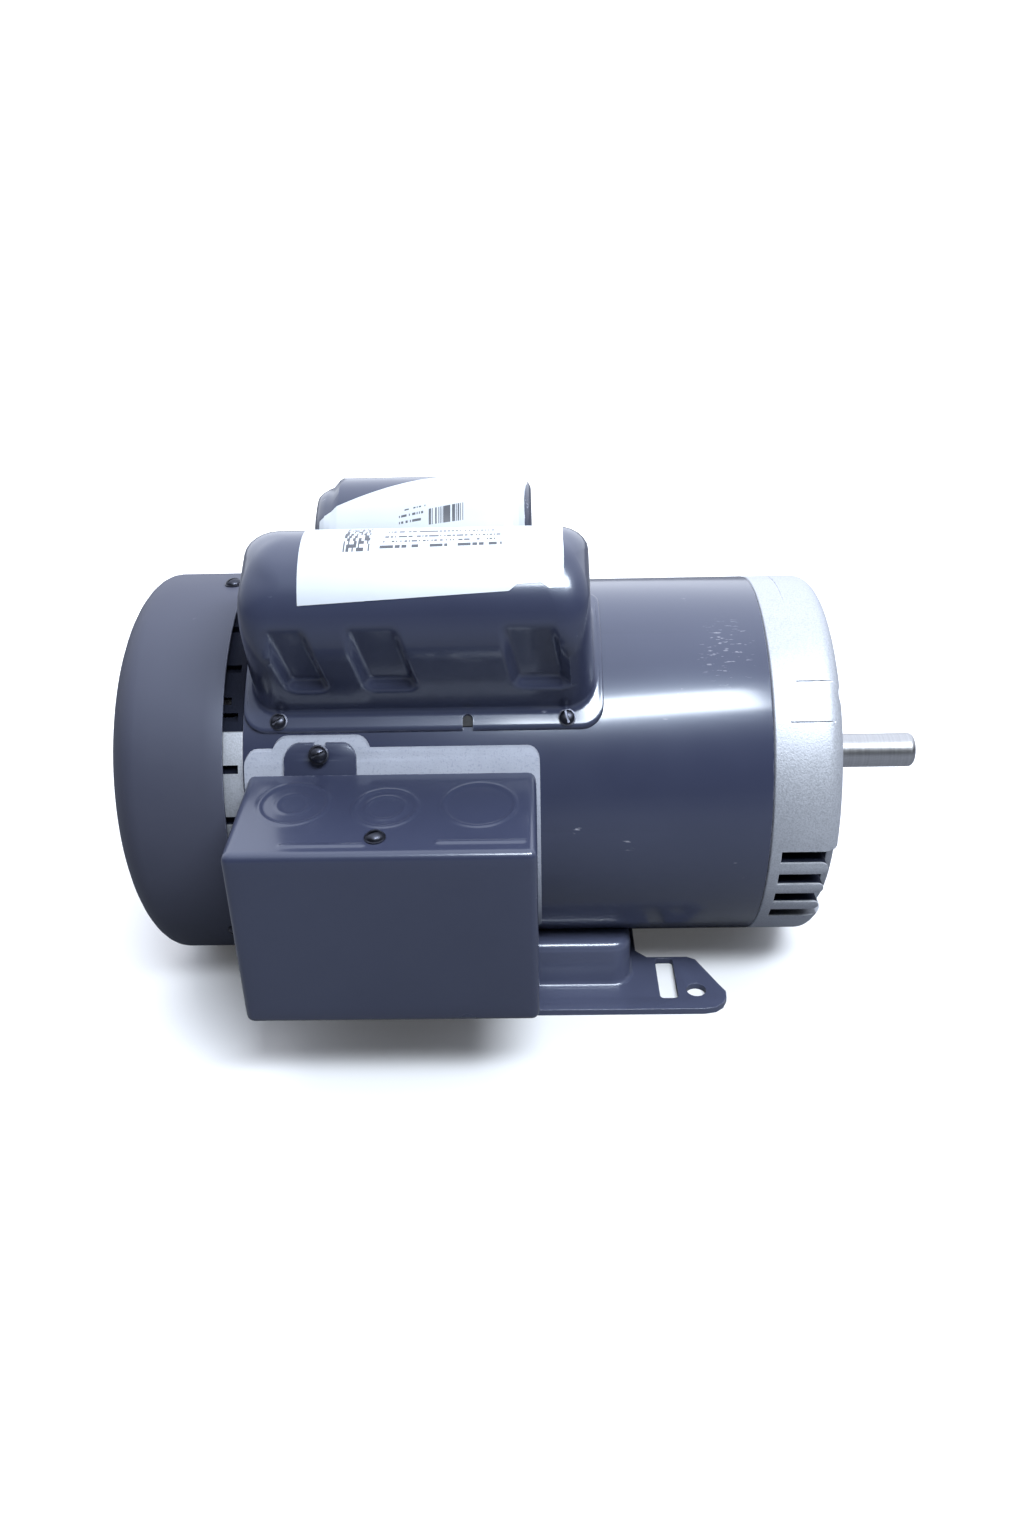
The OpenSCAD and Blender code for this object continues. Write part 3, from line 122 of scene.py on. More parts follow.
world = bpy.data.worlds.new("studio")
bpy.context.scene.world = world
world.use_nodes = True
sky = world.node_tree
sky_background = sky.nodes["Background"]
sky_place = add(sky, "TexCoord")
sky_split = add(sky, "SeparateXYZ", [("Vector", sky_place.outputs["Generated"])])
sky_lean = add(sky, "Math", [(0, sky_split.outputs["Y"]), (2, sky_split.outputs["Z"])],
               operation="MULTIPLY_ADD")
sky_lean.inputs[1].default_value = 0.9
sky_ramp = add(sky, "MapRange", [("Value", sky_lean.outputs["Value"])],
               From_Min=-0.1, From_Max=1.1, To_Min=0.05, To_Max=1.6)
sky.links.new(seen_as(sky, sky_ramp.outputs["Result"], 1.3), sky_background.inputs["Strength"])
sky.links.new(seen_as(sky, (0.88, 0.94, 1.06, 1), (1, 1, 1, 1), data_type="RGBA"),
              sky_background.inputs["Color"])


def softbox(name, place, target, width, height, power, colour=(1, 1, 1)):
    """A rectangular studio light turned towards a point."""
    data = bpy.data.lights.new(name, "AREA")
    data.shape = "RECTANGLE"
    data.size = width
    data.size_y = height
    data.energy = power
    data.color = colour
    light = bpy.data.objects.new(name, data)
    bpy.context.scene.collection.objects.link(light)
    light.location = place
    aim = Vector(target) - Vector(place)
    light.rotation_euler = aim.to_track_quat("-Z", "Y").to_euler()
    return light


ceiling = softbox("ceiling_light", (-0.1, 0.45, 1.4), (0, 0, 0.05), 1.4, 0.9, 11)
ceiling.visible_glossy = False
softbox("strip_light", (0.24, -0.50, 0.83), (0.06, 0, 0.1), 0.64, 0.19, 11, (0.86, 0.93, 1.0))

# ---------- Stator shell ----------
# A rolled and welded steel tube, open at both ends, with the lead holes cut through its
# wall. It is sprayed with the grey-blue enamel that all sheet parts of the motor share.


def alone(piece):
    """Makes one piece the only selected one."""
    bpy.ops.object.select_all(action="DESELECT")
    piece.select_set(True)
    bpy.context.view_layer.objects.active = piece


def draw_outline(name, points, closed=True):
    """An outline drawn by extruding one vertex from point to point; it stays in edit mode."""
    bpy.ops.object.select_all(action="DESELECT")
    bpy.ops.mesh.primitive_plane_add(size=mm, location=points[0])
    piece = bpy.context.object
    piece.name = name
    bpy.ops.object.mode_set(mode="EDIT")
    bpy.ops.mesh.select_mode(type="VERT")
    bpy.ops.mesh.select_all(action="SELECT")
    bpy.ops.mesh.merge(type="CENTER")
    for a, b in zip(points, points[1:]):
        bpy.ops.mesh.extrude_vertices_move(TRANSFORM_OT_translate={"value": Vector(b) - Vector(a)})
    if closed:
        mesh = bmesh.from_edit_mesh(piece.data)
        ends = [v for v in mesh.verts if len(v.link_edges) == 1]
        for v in mesh.verts:
            v.select = v in ends
        bmesh.update_edit_mesh(piece.data)
        bpy.ops.mesh.edge_face_add()
    return piece


def rest_at_origin(piece, smooth=32):
    """Puts the object's place into its mesh and shades it smooth up to an angle."""
    alone(piece)
    bpy.ops.object.transform_apply(location=True, rotation=True, scale=True)
    bpy.ops.object.shade_smooth_by_angle(angle=math.radians(smooth))
    return piece


def soften(width, angle=30):
    """Rounds every edge sharper than the angle, on the piece in edit mode."""
    bpy.ops.mesh.select_mode(type="EDGE")
    bpy.ops.mesh.select_all(action="DESELECT")
    bpy.ops.mesh.edges_select_sharp(sharpness=math.radians(angle))
    bpy.ops.mesh.bevel(offset=width, segments=2, affect="EDGES", clamp_overlap=True)


merge_reach = 0.002 * mm


def turn(name, outline, steps=96, edge=0.0, closed=True, sweep=360, start=0):
    """A piece turned about the shaft axis from [x, radius] points, from a start angle on."""
    points = [Vector((x, 0, axis_z + r)) for x, r in outline]
    piece = draw_outline(name, points, closed)
    bpy.ops.mesh.select_all(action="SELECT")
    bpy.ops.mesh.spin(steps=steps, angle=math.radians(sweep), center=(0, 0, axis_z), axis=(1, 0, 0))
    bpy.ops.mesh.select_all(action="SELECT")
    bpy.ops.mesh.remove_doubles(threshold=merge_reach)
    if sweep < 360:
        mesh = bmesh.from_edit_mesh(piece.data)
        rims = [e for e in mesh.edges if e.is_boundary]
        bmesh.ops.holes_fill(mesh, edges=rims, sides=0)
        bmesh.update_edit_mesh(piece.data)
    bpy.ops.mesh.select_all(action="SELECT")
    bpy.ops.mesh.normals_make_consistent(inside=False)
    if edge:
        soften(edge)
    bpy.ops.object.mode_set(mode="OBJECT")
    rest_at_origin(piece)
    piece.data.transform(about_axis(start))
    return piece


def about_axis(angle):
    """Turns about the shaft axis, from the top towards the conduit box side."""
    lift = Matrix.Translation((0, 0, axis_z))
    return lift @ Matrix.Rotation(math.radians(angle), 4, "X") @ lift.inverted()


def cut(piece, *cutters, how="DIFFERENCE"):
    """Cuts closed shapes out of a piece, or joins them to it."""
    for cutter in cutters:
        alone(piece)
        tool = piece.modifiers.new("cut", "BOOLEAN")
        tool.operation = how
        tool.solver = "EXACT"
        tool.object = cutter
        bpy.ops.object.modifier_apply(modifier="cut")
        bpy.data.objects.remove(cutter)
    return piece


def rod(place, radius, depth, sides=32, lean=0.0):
    """A round cutter about a place, upright or leaning towards +x."""
    bpy.ops.object.select_all(action="DESELECT")
    bpy.ops.mesh.primitive_cylinder_add(vertices=sides, radius=radius, depth=depth,
                                        location=place, rotation=(0, lean, 0))
    bpy.ops.object.transform_apply(location=True, rotation=True, scale=True)
    return bpy.context.object


shell_wall = 1.6 * mm
shell_inner = shell_r - shell_wall
lead_x = (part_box("lead_grommet")[0].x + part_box("lead_grommet")[1].x) / 2
shell = turn("shell", [(shell_rear, shell_inner), (shell_rear, shell_r),
                       (shell_front, shell_r), (shell_front, shell_inner)],
             steps=160, edge=0.5 * mm)
cover_tilt = 29
tab_hole_x = -87.5 * mm
for x, angle, radius in ((lead_x, 92, 11 * mm), (tab_hole_x, cover_tilt, 7 * mm),
                         (tab_hole_x, -cover_tilt, 7 * mm)):
    drill = rod((x, 0, axis_z + (shell_inner + shell_r) / 2), radius, shell_wall + 6 * mm)
    drill.data.transform(about_axis(angle))
    cut(shell, drill)
rest_at_origin(shell)


def group_of(name, inputs, outputs):
    """An empty shader group with named sockets, and its input and output nodes."""
    group = bpy.data.node_groups.new(name, "ShaderNodeTree")
    for label, value in inputs:
        kind = "NodeSocketFloat"
        if isinstance(value, tuple):
            kind = "NodeSocketColor"
        socket = group.interface.new_socket(name=label, in_out="INPUT", socket_type=kind)
        socket.default_value = value
    for label, kind in outputs:
        group.interface.new_socket(name=label, in_out="OUTPUT", socket_type=kind)
    return group, group.nodes.new("NodeGroupInput"), group.nodes.new("NodeGroupOutput")


# Grain: a fine bump and a soft cloudy tone, both read from the object's own coordinates
grain, grain_in, grain_out = group_of(
    "grain", [("Fine Scale", 900.0), ("Cloud Scale", 20.0), ("Stretch", 1.0)],
    [("Height", "NodeSocketFloat"), ("Tone", "NodeSocketFloat")])
place = add(grain, "TexCoord")
stretch = add(grain, "CombineXYZ", [("X", grain_in.outputs["Stretch"])], Y=1.0, Z=1.0)
stretched = add(grain, "VectorMath", [(0, place.outputs["Object"]), (1, stretch.outputs["Vector"])],
                operation="MULTIPLY")
fine = add(grain, "TexNoise", [("Vector", stretched.outputs["Vector"]),
                               ("Scale", grain_in.outputs["Fine Scale"])], Detail=3.0, Roughness=0.6)
cloud = add(grain, "TexNoise", [("Vector", stretched.outputs["Vector"]),
                                ("Scale", grain_in.outputs["Cloud Scale"])], Detail=4.0)
grain.links.new(fine.outputs["Fac"], grain_out.inputs["Height"])
grain.links.new(cloud.outputs["Fac"], grain_out.inputs["Tone"])

# Edge wear: finds the outer edges by comparing the true normal with a rounded one
wear, wear_in, wear_out = group_of(
    "edge_wear", [("Reach", 0.0008), ("Breakup Scale", 300.0), ("Amount", 0.5)],
    [("Wear", "NodeSocketFloat")])
place = add(wear, "TexCoord")
true_normal = add(wear, "NewGeometry")
round_normal = add(wear, "Bevel", [("Radius", wear_in.outputs["Reach"])], samples=6)
facing = add(wear, "VectorMath", [(0, true_normal.outputs["Normal"]),
                                  (1, round_normal.outputs["Normal"])], operation="DOT_PRODUCT")
turned_away = add(wear, "MapRange", [("Value", facing.outputs["Value"])],
                  From_Min=0.995, From_Max=0.85)
breakup = add(wear, "TexNoise", [("Vector", place.outputs["Object"]),
                                 ("Scale", wear_in.outputs["Breakup Scale"])], Detail=4.0)
ragged = add(wear, "MapRange", [("Value", breakup.outputs["Fac"])], From_Min=0.42, From_Max=0.62)
worn = product(wear, turned_away.outputs["Result"], ragged.outputs["Result"])
wear.links.new(product(wear, worn, wear_in.outputs["Amount"]), wear_out.inputs["Wear"])

# Scuffs: short light rub marks that lie in small patches
scuff, scuff_in, scuff_out = group_of(
    "scuffs", [("Patch Scale", 26.0), ("Patch Share", 0.66), ("Mark Scale", 420.0)],
    [("Scuff", "NodeSocketFloat")])
place = add(scuff, "TexCoord")
patch = add(scuff, "TexNoise", [("Vector", place.outputs["Object"]),
                                ("Scale", scuff_in.outputs["Patch Scale"])], Detail=2.0)
in_patch = add(scuff, "Math", [(0, patch.outputs["Fac"]), (1, scuff_in.outputs["Patch Share"])],
               operation="SUBTRACT")
patch_mask = add(scuff, "MapRange", [("Value", in_patch.outputs["Value"])],
                 From_Min=0.0, From_Max=0.05)
lay = add(scuff, "Mapping", [("Vector", place.outputs["Object"])],
          Rotation=(0.5, 0.9, 0.3), Scale=(0.25, 1.0, 1.0))
marks = add(scuff, "TexNoise", [("Vector", lay.outputs["Vector"]),
                                ("Scale", scuff_in.outputs["Mark Scale"])], Detail=3.0)
mark_mask = add(scuff, "MapRange", [("Value", marks.outputs["Fac"])], From_Min=0.60, From_Max=0.68)
scuff.links.new(product(scuff, patch_mask.outputs["Result"], mark_mask.outputs["Result"]),
                scuff_out.inputs["Scuff"])


def group_node(tree, group, **values):
    """Places a shared group in a material with its own values."""
    node = tree.nodes.new("ShaderNodeGroup")
    node.node_tree = group
    for key, value in values.items():
        node.inputs[key.replace("_", " ")].default_value = value
    return node


def blend_colours(tree, share, low, high):
    """Mixes two colours, or one colour over a colour socket, by a share."""
    mix = tree.nodes.new("ShaderNodeMix")
    mix.data_type = "RGBA"
    tree.links.new(share, mix.inputs["Factor"])
    for name, colour in (("A", low), ("B", high)):
        if isinstance(colour, tuple):
            mix.inputs[name].default_value = (*colour, 1)
        else:
            tree.links.new(colour, mix.inputs[name])
    return mix.outputs["Result"]


def set_bump(tree, shader, height, strength, distance):
    """Feeds a height into the shader's normal."""
    bump = add(tree, "Bump", [("Height", height)], Strength=strength, Distance=distance)
    tree.links.new(bump.outputs["Normal"], shader.inputs["Normal"])


def spread(tree, source, low, high, start=0.3, end=0.7):
    """Spreads a noise value over a range."""
    node = add(tree, "MapRange", [("Value", source)], From_Min=start, From_Max=end,
               To_Min=low, To_Max=high)
    return node.outputs["Result"]


def enamel_of(name, deep, pale, rub, roughness=(0.27, 0.34), coat=0.9, rubbed_at=None):
    """Satin sprayed enamel: cloudy tone, orange peel, rubbed edges and light scuffs."""
    material, tree, shader = paint_of(name)
    skin = group_node(tree, grain, Fine_Scale=700.0, Cloud_Scale=14.0)
    edges = group_node(tree, wear, Reach=0.0009, Amount=0.55)
    rubs = group_node(tree, scuff, Patch_Scale=60.0, Patch_Share=0.70, Mark_Scale=900.0)
    base = blend_colours(tree, spread(tree, skin.outputs["Tone"], 0, 1), deep, pale)
    base = blend_colours(tree, edges.outputs["Wear"], base, rub)
    base = blend_colours(tree, rubs.outputs["Scuff"], base, rub)
    if rubbed_at:
        place = add(tree, "TexCoord")
        near = add(tree, "Mapping", [("Vector", place.outputs["Object"])], vector_type="TEXTURE",
                   Location=rubbed_at, Scale=(0.013, 0.02, 0.02))
        reach = add(tree, "VectorMath", [(0, near.outputs["Vector"])], operation="LENGTH")
        patch = group_node(tree, scuff, Patch_Scale=150.0, Patch_Share=0.34, Mark_Scale=950.0)
        faded = spread(tree, reach.outputs["Value"], 0.5, 0, 0.5, 1.0)
        base = blend_colours(tree, product(tree, faded, patch.outputs["Scuff"]), base, rub)
    tree.links.new(base, shader.inputs["Base Color"])
    tree.links.new(spread(tree, skin.outputs["Tone"], *roughness), shader.inputs["Roughness"])
    shader.inputs["Coat Weight"].default_value = coat
    shader.inputs["Coat Roughness"].default_value = 0.14
    shader.inputs["Specular Tint"].default_value = (0.80, 0.88, 1.0, 1)
    set_bump(tree, shader, skin.outputs["Height"], 0.10, 0.00008)
    return material


deep_blue = (0.029, 0.034, 0.066)
pale_blue = (0.036, 0.042, 0.078)
rubbed_blue = (0.26, 0.28, 0.36)
enamel = enamel_of("grey_blue_enamel", deep_blue, pale_blue, rubbed_blue)
scuff_turn = math.radians(31)
scuff_spot = (0.071, -shell_r * math.sin(scuff_turn), axis_z + shell_r * math.cos(scuff_turn))
shell_enamel = enamel_of("scuffed_enamel", deep_blue, pale_blue, (0.36, 0.36, 0.42),
                         rubbed_at=scuff_spot)
shell.data.materials.append(shell_enamel)
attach(shell, "housing")
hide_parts("stator_shell")

# ---------- Drive end bell ----------
# A die-cast aluminium end bell with a machined mounting face and a raised locating rabbet.
# Below the axis its wall is split into cooling fins on both sides, with painted shade in the pockets
# between them; the rest has a sandy skin.
bell_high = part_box("drive_end_bell")[1]
rabbet_height = 4.1 * mm
face_x = bell_high.x - rabbet_height
rabbet_r = 57.15 * mm
bearing_r = 26 * mm
bell_corner = 7.5 * mm
hub_r = bearing_r + 6 * mm
bore_r = 14 * mm
spigot_r = shell_inner - 0.1 * mm
spigot_inner = 75.5 * mm
recess_r = 68 * mm
seat_x = face_x - 21.3 * mm


def arc_points(centre, radius, start, end, steps):
    """Points of an arc in an [x, r] outline, with its angles from the +x direction."""
    angles = [math.radians(start + (end - start) * i / steps) for i in range(steps + 1)]
    return [(centre[0] + radius * math.cos(a), centre[1] + radius * math.sin(a)) for a in angles]


corner = arc_points((face_x - bell_corner, shell_r - bell_corner), bell_corner, 90, 0, 7)
bell = turn("end_bell_casting",
            [(shell_front - 8 * mm, spigot_inner), (shell_front - 8 * mm, spigot_r),
             (shell_front, spigot_r), (shell_front, shell_r - 1.3 * mm),
             (shell_front + 0.7 * mm, shell_r)]
            + corner +
            [(face_x, rabbet_r), (bell_high.x, rabbet_r), (bell_high.x, bore_r),
             (face_x - 6.1 * mm, bore_r), (face_x - 6.1 * mm, bearing_r),
             (seat_x - 2 * mm, bearing_r), (seat_x - 2 * mm, hub_r), (face_x - 9.3 * mm, hub_r),
             (face_x - 9.3 * mm, recess_r), (shell_front + 8 * mm, recess_r),
             (shell_front + 6 * mm, spigot_inner)],
            steps=160, edge=0.6 * mm)


def block(low, high, round_edges=None, radius=0.0, segments=4):
    """A cube between two corners; round_edges picks the edges to round by their middle."""
    low, high = Vector(low), Vector(high)
    bpy.ops.object.select_all(action="DESELECT")
    bpy.ops.mesh.primitive_cube_add(size=1, location=(low + high) / 2)
    piece = bpy.context.object
    piece.scale = high - low
    bpy.ops.object.transform_apply(location=True, rotation=True, scale=True)
    if round_edges:
        bpy.ops.object.mode_set(mode="EDIT")
        bpy.ops.mesh.select_mode(type="EDGE")
        mesh = bmesh.from_edit_mesh(piece.data)
        for e in mesh.edges:
            e.select = round_edges((e.verts[0].co + e.verts[1].co) / 2, e)
        mesh.select_flush_mode()
        bmesh.update_edit_mesh(piece.data)
        bpy.ops.mesh.bevel(offset=radius, segments=segments, affect="EDGES", clamp_overlap=True)
        bpy.ops.object.mode_set(mode="OBJECT")
    return piece


fin_top = axis_z - 3.3 * mm
fin_height = 6 * mm
fin_count = 4
fin_start = shell_front + 5 * mm
fin_end = face_x - 4.3 * mm
pocket_r = 72 * mm
fins_bottom = fin_top - (2 * fin_count - 1) * fin_height
past_side = 95 * mm
fin_root = 50 * mm
for side in (-1, 1):
    pocket = block((fin_start, min(0, side * past_side), fins_bottom),
                   (face_x + 9 * mm, max(0, side * past_side), fin_top))
    core = turn("pocket_core", [(fin_start - 9 * mm, 0), (fin_start - 9 * mm, pocket_r),
                                (face_x + 20 * mm, pocket_r), (face_x + 20 * mm, 0)], steps=96)
    cut(pocket, core)
    cut(bell, pocket)
    for i in range(fin_count - 1):
        top = fin_top - (2 * i + 1) * fin_height
        fin = block((fin_start - 2 * mm, min(side * fin_root, side * past_side), top - fin_height),
                    (fin_end, max(side * fin_root, side * past_side), top),
                    lambda m, e, top=top: m.x > fin_end - mm and abs(m.z - top + fin_height / 2) > mm,
                    fin_height * 0.48, 6)
        rim = turn("fin_rim", [(fin_start - 9 * mm, pocket_r - 2 * mm), (fin_start - 9 * mm, shell_r),
                               (fin_end + 9 * mm, shell_r), (fin_end + 9 * mm, pocket_r - 2 * mm)],
                   steps=160)
        cut(fin, rim, how="INTERSECT")
        alone(fin)
        bpy.ops.object.mode_set(mode="EDIT")
        soften(0.7 * mm, angle=50)
        bpy.ops.object.mode_set(mode="OBJECT")
        cut(bell, fin, how="UNION")
bolt_circle_r = 74.6 * mm
for angle in (45, 135, 225, 315):
    drill = rod((face_x, 0, axis_z + bolt_circle_r), 4.76 * mm, 40 * mm, sides=40, lean=math.pi / 2)
    drill.data.transform(about_axis(angle))
    cut(bell, drill)
for angle, start_x in ((41.6, 98), (53.7, 95)):
    for side in (1, -1):
        groove = block((start_x * mm, -0.3 * mm, axis_z + shell_r - 0.9 * mm),
                       (115.5 * mm, 0.3 * mm, axis_z + shell_r + mm))
        groove.data.transform(about_axis(side * angle))
        cut(bell, groove)
for start in (9, -35):
    groove = turn("parting_line", [(98.6 * mm, shell_r - 0.25 * mm), (98.6 * mm, shell_r + mm),
                                   (99.0 * mm, shell_r + mm), (99.0 * mm, shell_r - 0.25 * mm)],
                  steps=20, sweep=26, start=start)
    cut(bell, groove)
rest_at_origin(bell)


def casting_of(name, base, bright, roughness=0.5, metallic=0.55, sand=1500.0, shade=None):
    """Cast aluminium: pale cloudy metal with a sandy skin; shade adds a mask of painted shade."""
    material, tree, shader = paint_of(name)
    skin = group_node(tree, grain, Fine_Scale=sand, Cloud_Scale=16.0)
    edges = group_node(tree, wear, Reach=0.0008, Amount=0.6)
    tone = blend_colours(tree, spread(tree, skin.outputs["Tone"], 0, 1), base, bright)
    tone = blend_colours(tree, spread(tree, skin.outputs["Height"], 0.45, 0, 0.35, 0.6), tone,
                         tuple(0.55 * c for c in base))
    tone = blend_colours(tree, edges.outputs["Wear"], tone, (0.92, 0.93, 0.95))
    shader.inputs["Metallic"].default_value = metallic
    if shade:
        # Painted shade: the masked part turns near-black and loses its metal and most of its shine.
        dark = shade(tree)
        tone = blend_colours(tree, dark, tone, (0.010, 0.012, 0.022))
        tree.links.new(spread(tree, dark, metallic, 0, 0, 1), shader.inputs["Metallic"])
        tree.links.new(spread(tree, dark, 0.5, 0.05, 0, 1), shader.inputs["Specular IOR Level"])
    tree.links.new(tone, shader.inputs["Base Color"])
    tree.links.new(spread(tree, skin.outputs["Height"], roughness - 0.08, roughness + 0.12),
                   shader.inputs["Roughness"])
    set_bump(tree, shader, skin.outputs["Height"], 0.45, 0.00025)
    return material


def axis_reach(tree):
    """The place on the piece, and its distance from the shaft axis."""
    place = add(tree, "TexCoord")
    parts = add(tree, "SeparateXYZ", [("Vector", place.outputs["Object"])])
    level = add(tree, "Math", [(0, parts.outputs["Z"])], operation="SUBTRACT")
    level.inputs[1].default_value = axis_z
    flat = add(tree, "CombineXYZ", [("Y", parts.outputs["Y"]), ("Z", level.outputs["Value"])])
    reach = add(tree, "VectorMath", [(0, flat.outputs["Vector"])], operation="LENGTH")
    return parts, reach.outputs["Value"]


def pocket_painted_shade(tree):
    """Painted shade in the fin pockets: inside the rim, behind the face, between the fins."""
    parts, reach = axis_reach(tree)
    level = parts.outputs["Z"]
    within_rim = spread(tree, reach, 1, 0, 81.3 * mm, 81.9 * mm)
    behind_face = spread(tree, parts.outputs["X"], 1, 0, 114.2 * mm, 114.8 * mm)
    under_top = spread(tree, level, 1, 0, fin_top, fin_top + 0.4 * mm)
    over_bottom = spread(tree, level, 0, 1, fins_bottom - 0.2 * mm, fins_bottom + 0.1 * mm)
    share = product(tree, within_rim, behind_face)
    return product(tree, product(tree, share, under_top), over_bottom)


dull_aluminium = (0.47, 0.49, 0.54)
fresh_aluminium = (0.55, 0.57, 0.62)
cast_aluminium = casting_of("cast_aluminium", dull_aluminium, fresh_aluminium, shade=pocket_painted_shade)
bell.data.materials.append(cast_aluminium)
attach(bell, "housing")
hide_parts("drive_end_bell")

# ---------- Rear end bell ----------
# The plain casting behind the shell; only its notched rim shows, between the shell and the
# fan cover. It is the same sandy aluminium as the drive end bell, with painted shade on the
# upper part of its rim and in its notches.


def repaint(node, material):
    """Gives a CAD piece its finish."""
    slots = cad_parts[node].data.materials
    slots.clear()
    slots.append(material)


def rim_painted_shade(tree):
    """Painted shade on the upper part of the rim and in its notches."""
    parts, reach = axis_reach(tree)
    upper = spread(tree, parts.outputs["Z"], 0, 1, 137 * mm, 137.5 * mm)
    deep = spread(tree, reach, 1, 0, 81.2 * mm, 81.6 * mm)
    return add(tree, "Math", [(0, upper), (1, deep)], operation="MAXIMUM").outputs["Value"]


# The rim's casting carries painted shade on its upper part and in its notches.
painted_shade_casting = casting_of("rim_shaded_casting", dull_aluminium, fresh_aluminium,
                             shade=rim_painted_shade)
repaint("rear_end_bell", painted_shade_casting)

# ---------- Shaft ----------
# A ground steel shaft with stepped seats; its drive end has a rounded lead-in and an empty
# keyway, milled out through the end.
shaft_low, shaft_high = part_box("shaft")
shaft_end = shaft_high.x
shaft_rear = shaft_low.x
extension_r = 15.875 / 2 * mm
nose = 2.4 * mm
core_r = 14 * mm
bearing_seat_r = 12.5 * mm
journal_r = extension_r + mm
journal_end = bell_high.x - 0.4 * mm
shaft = turn("main_shaft",
             [(shaft_rear, 0), (shaft_rear, 6 * mm), (shaft_rear + mm, 7 * mm),
              (-131.5 * mm, 7 * mm), (-131.5 * mm, 8.5 * mm), (-118 * mm, 8.5 * mm),
              (-118 * mm, 11 * mm), (-78 * mm, 11 * mm), (-78 * mm, core_r),
              (seat_x, core_r), (seat_x, bearing_seat_r), (seat_x + 15 * mm, bearing_seat_r),
              (seat_x + 15 * mm, journal_r), (journal_end, journal_r), (journal_end, extension_r)]
             + arc_points((shaft_end - nose, extension_r - nose), nose, 90, 0, 6)
             + [(shaft_end, 0)],
             steps=96, edge=0.25 * mm, closed=False)
key_width = 4.7625 * mm
keyway = block((shaft_end - 37.8 * mm, -key_width / 2, axis_z + extension_r - key_width / 2),
               (shaft_end + mm, key_width / 2, axis_z + extension_r + mm))
keyway.data.transform(about_axis(235))
cut(shaft, keyway)
rest_at_origin(shaft)


def steel_of(name, base, roughness, stretch=0.06, grain_scale=900.0, metallic=1.0):
    """Ground or rolled steel: fine marks that run round or along the piece."""
    material, tree, shader = paint_of(name)
    skin = group_node(tree, grain, Fine_Scale=grain_scale, Cloud_Scale=30.0, Stretch=stretch)
    edges = group_node(tree, wear, Reach=0.0004, Amount=0.4)
    tone = blend_colours(tree, spread(tree, skin.outputs["Tone"], 0, 1), base,
                         tuple(min(1.0, c * 1.18) for c in base))
    tone = blend_colours(tree, edges.outputs["Wear"], tone, tuple(min(1.0, c * 1.5) for c in base))
    tree.links.new(tone, shader.inputs["Base Color"])
    shader.inputs["Metallic"].default_value = metallic
    tree.links.new(spread(tree, skin.outputs["Height"], roughness - 0.06, roughness + 0.08),
                   shader.inputs["Roughness"])
    set_bump(tree, shader, skin.outputs["Height"], 0.06, 0.00002)
    return material


ground_steel = steel_of("ground_steel", (0.46, 0.46, 0.47), 0.34, stretch=40.0, grain_scale=50.0)
shaft.data.materials.append(ground_steel)
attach(shaft, "rotor")
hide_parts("shaft")

# ---------- Fan cover ----------
# A deep-drawn sheet steel bowl over the cooling fan, with concentric rows of air slots
# punched in its flat back. Three screws hold its rim to the rear end bell.
cover_low, cover_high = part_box("fan_cover")
cover_front = cover_high.x
cover_rear = cover_low.x
cover_r = (cover_high.y - cover_low.y) / 2
sheet = 1.2 * mm
crown_r = 46 * mm
shoulder = 18 * mm
slot_pitch = 8.4 * mm
slot_half = 1.8 * mm
slot_rows = 5
bowl = [(cover_front, cover_r), (cover_front - 8 * mm, cover_r), (cover_rear + 24 * mm, cover_r)]
for i in range(13):
    t = math.radians(i * 7.5)
    bowl.append((cover_rear + shoulder * (1 - math.sin(t)), crown_r + (cover_r - crown_r) * math.cos(t)))
for row in range(slot_rows, 0, -1):
    bowl.append((cover_rear, row * slot_pitch + slot_half))
    bowl.append((cover_rear, row * slot_pitch - slot_half))
bowl.append((cover_rear, 0))
fan_cover = turn("fan_shroud", bowl, steps=144, closed=False)
alone(fan_cover)
bpy.ops.object.mode_set(mode="EDIT")
bpy.ops.mesh.select_mode(type="FACE")
mesh = bmesh.from_edit_mesh(fan_cover.data)
for face in mesh.faces:
    middle = face.calc_center_median()
    radius = math.hypot(middle.y, middle.z - axis_z)
    row = round(radius / slot_pitch)
    angle = math.degrees(math.atan2(-middle.y, middle.z - axis_z)) - 30 * (row % 2)
    off = abs((angle + 30) % 60 - 30)
    in_row = 1 <= row <= slot_rows and abs(radius - row * slot_pitch) < slot_half
    face.select = in_row and middle.x < cover_rear + mm and off < 23.4
bmesh.update_edit_mesh(fan_cover.data)
bpy.ops.mesh.delete(type="FACE")
bpy.ops.object.mode_set(mode="OBJECT")


def thicken(piece, wall, offset=-1):
    """Gives a sheet its wall, inwards from the modelled face."""
    alone(piece)
    skin = piece.modifiers.new("wall", "SOLIDIFY")
    skin.thickness = wall
    skin.offset = offset
    bpy.ops.object.modifier_apply(modifier="wall")
    return piece


def round_off(piece, width, angle=40, segments=2):
    """Rounds the sharp edges of a finished piece."""
    alone(piece)
    edges = piece.modifiers.new("edges", "BEVEL")
    edges.width = width
    edges.segments = segments
    edges.limit_method = "ANGLE"
    edges.angle_limit = math.radians(angle)
    edges.use_clamp_overlap = True
    bpy.ops.object.modifier_apply(modifier="edges")
    return rest_at_origin(piece)


thicken(fan_cover, sheet)
round_off(fan_cover, 0.35 * mm)
satin_enamel = enamel_of("satin_enamel", (0.050, 0.053, 0.080), (0.060, 0.063, 0.092),
                         rubbed_blue, roughness=(0.5, 0.58), coat=0)
fan_cover.data.materials.append(satin_enamel)
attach(fan_cover, "housing")
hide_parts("fan_cover")

# ---------- Capacitor covers ----------
# Two deep-drawn steel covers with a round crown, leaning ends and a flange that lies on the
# shell. The near one has three hollows stamped in its lower side and a notch in its flange.


